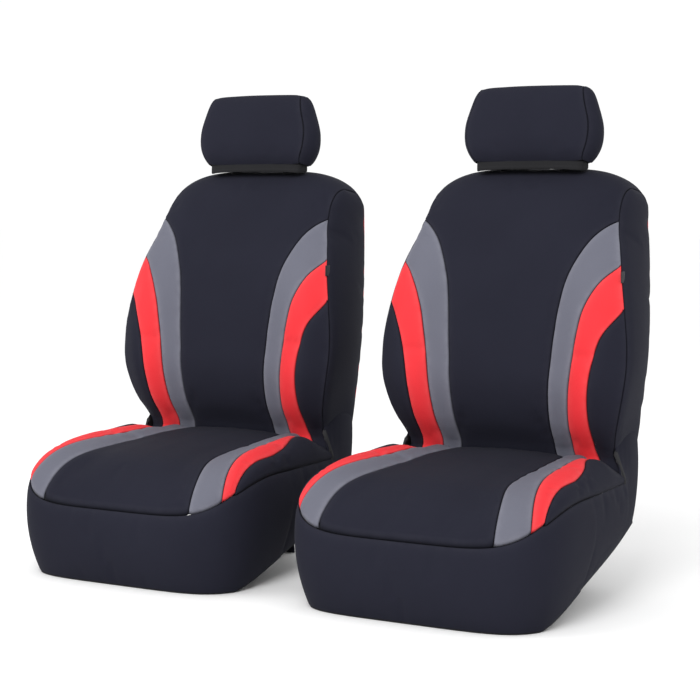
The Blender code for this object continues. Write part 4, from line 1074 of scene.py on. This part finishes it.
for seat in ("driver", "passenger"):
    shift = POSITIONS[seat]
    for part, panel, cloth in PANELS:
        body = {"b": "bends", "h": "headrest_cover", "c": "cushion_cover"}[part[0]]
        if part.endswith("centre_panel"):
            piece = sew(f"{seat}_{part}_cloth", panel, cloth, shift)
            if part.startswith("back"):
                cut_post_holes(piece, shift)
            dress(piece, seat, body, cloth, part)
            continue
        for label, direction in (("left", 1), ("right", -1)):
            piece = sew(f"{seat}_{part}_{label}_cloth", mirrored(panel, direction), cloth, shift)
            dress(piece, seat, body, cloth, f"{part}_{label}")
    for part, panel, body in (("back_rear_panel", REAR, "bends"),
                              ("head_wrap_panel", WRAP, "headrest_cover"),
                              ("cushion_skirt", SKIRT, "bends"),
                              ("tuck_flap", tuck_flap(), "cushion_cover")):
        dress(sew(f"{seat}_{part}_cloth", panel, BLACK, shift), seat, body, BLACK, part)
    dress(back_piping(f"{seat}_rear_piping", shift), seat, "bends", RED, "back_piping")
    dress(hem_binding(f"{seat}_hem_elastic", shift), seat, "cushion_cover", ELASTIC, "hem_binding")
    dress(head_elastic(f"{seat}_head_ring", shift), seat, "headrest_cover", ELASTIC, "head_elastic")
    dress(sew(f"{seat}_side_tag", side_tag(), LABEL, shift, TAG_THICKNESS), seat, "back_cover", LABEL,
          "side_label")
    for label, side_of in (("left", 1), ("right", -1)):
        dress(post_ring(f"{seat}_post_ring_{label}", side_of, shift), seat, "back_cover", ELASTIC)
    for node, finish in (("strap_left", WEBBING), ("strap_right", WEBBING),
                         ("buckle_socket", PLASTIC), ("buckle_plug", PLASTIC)):
        slots = frame["nodes"][f"{seat}_{node}"].data.materials
        slots.clear()
        slots.append(finish)


# ---- Stage, light and camera ----
def stage():
    """A pale floor that runs out of sight."""
    reach = 40.0
    corners = [(-reach, -reach, 0), (reach, -reach, 0), (reach, reach, 0), (-reach, reach, 0)]
    floor = mesh_piece("floor", corners, [(0, 1, 2, 3)], [])
    plain = bpy.data.materials.new("floor_white")
    plain.use_nodes = True
    wire(plain.node_tree, plain.node_tree.nodes["Principled BSDF"], Base_Color=(0.97, 0.97, 0.97, 1),
         Roughness=0.9, Specular_IOR_Level=0.1)
    floor.data.materials.append(plain)
    floor.location = (0, 0, -0.0005)
    floor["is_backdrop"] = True


def soft_light(name, at, aim, size, power_w):
    """A square lamp that faces its aim."""
    lamp = bpy.data.lights.new(name, "AREA")
    lamp.shape, lamp.size, lamp.energy = "SQUARE", size, power_w
    made = bpy.data.objects.new(name, lamp)
    bpy.context.scene.collection.objects.link(made)
    made.rotation_mode = "QUATERNION"
    made.rotation_quaternion = (Vector(aim) - Vector(at)).to_track_quat("-Z", "Y")
    made.location = at


def studio():
    """An evenly white room and two soft lamps above and in front of the covers."""
    world = bpy.data.worlds.new("studio")
    bpy.context.scene.world = world
    world.use_nodes = True
    wire(world.node_tree, world.node_tree.nodes["Background"], Color=(1.0, 1.0, 1.0, 1), Strength=1.04)
    soft_light("key", (1.0, -3.4, 3.4), (0, 0, 0.6), 2.0, 90)
    soft_light("fill", (-3.0, -2.6, 2.8), (0, 0, 0.6), 2.2, 40)
    bpy.context.scene.view_settings.view_transform = "Standard"


def camera():
    """At the right front, a little above the covers, looking slightly down."""
    azimuth, pitch = radians(31.59), radians(4.469)
    lens = bpy.data.cameras.new("camera")
    lens.sensor_width, lens.lens = 36.0, 97.714
    lens.clip_end = 200
    made = bpy.data.objects.new("camera", lens)
    bpy.context.scene.collection.objects.link(made)
    made.location = (2.1245, -3.4024, 0.80)
    made.rotation_euler = (pi / 2 - pitch, 0, azimuth)
    bpy.context.scene.camera = made


stage()
studio()
camera()
low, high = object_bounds()
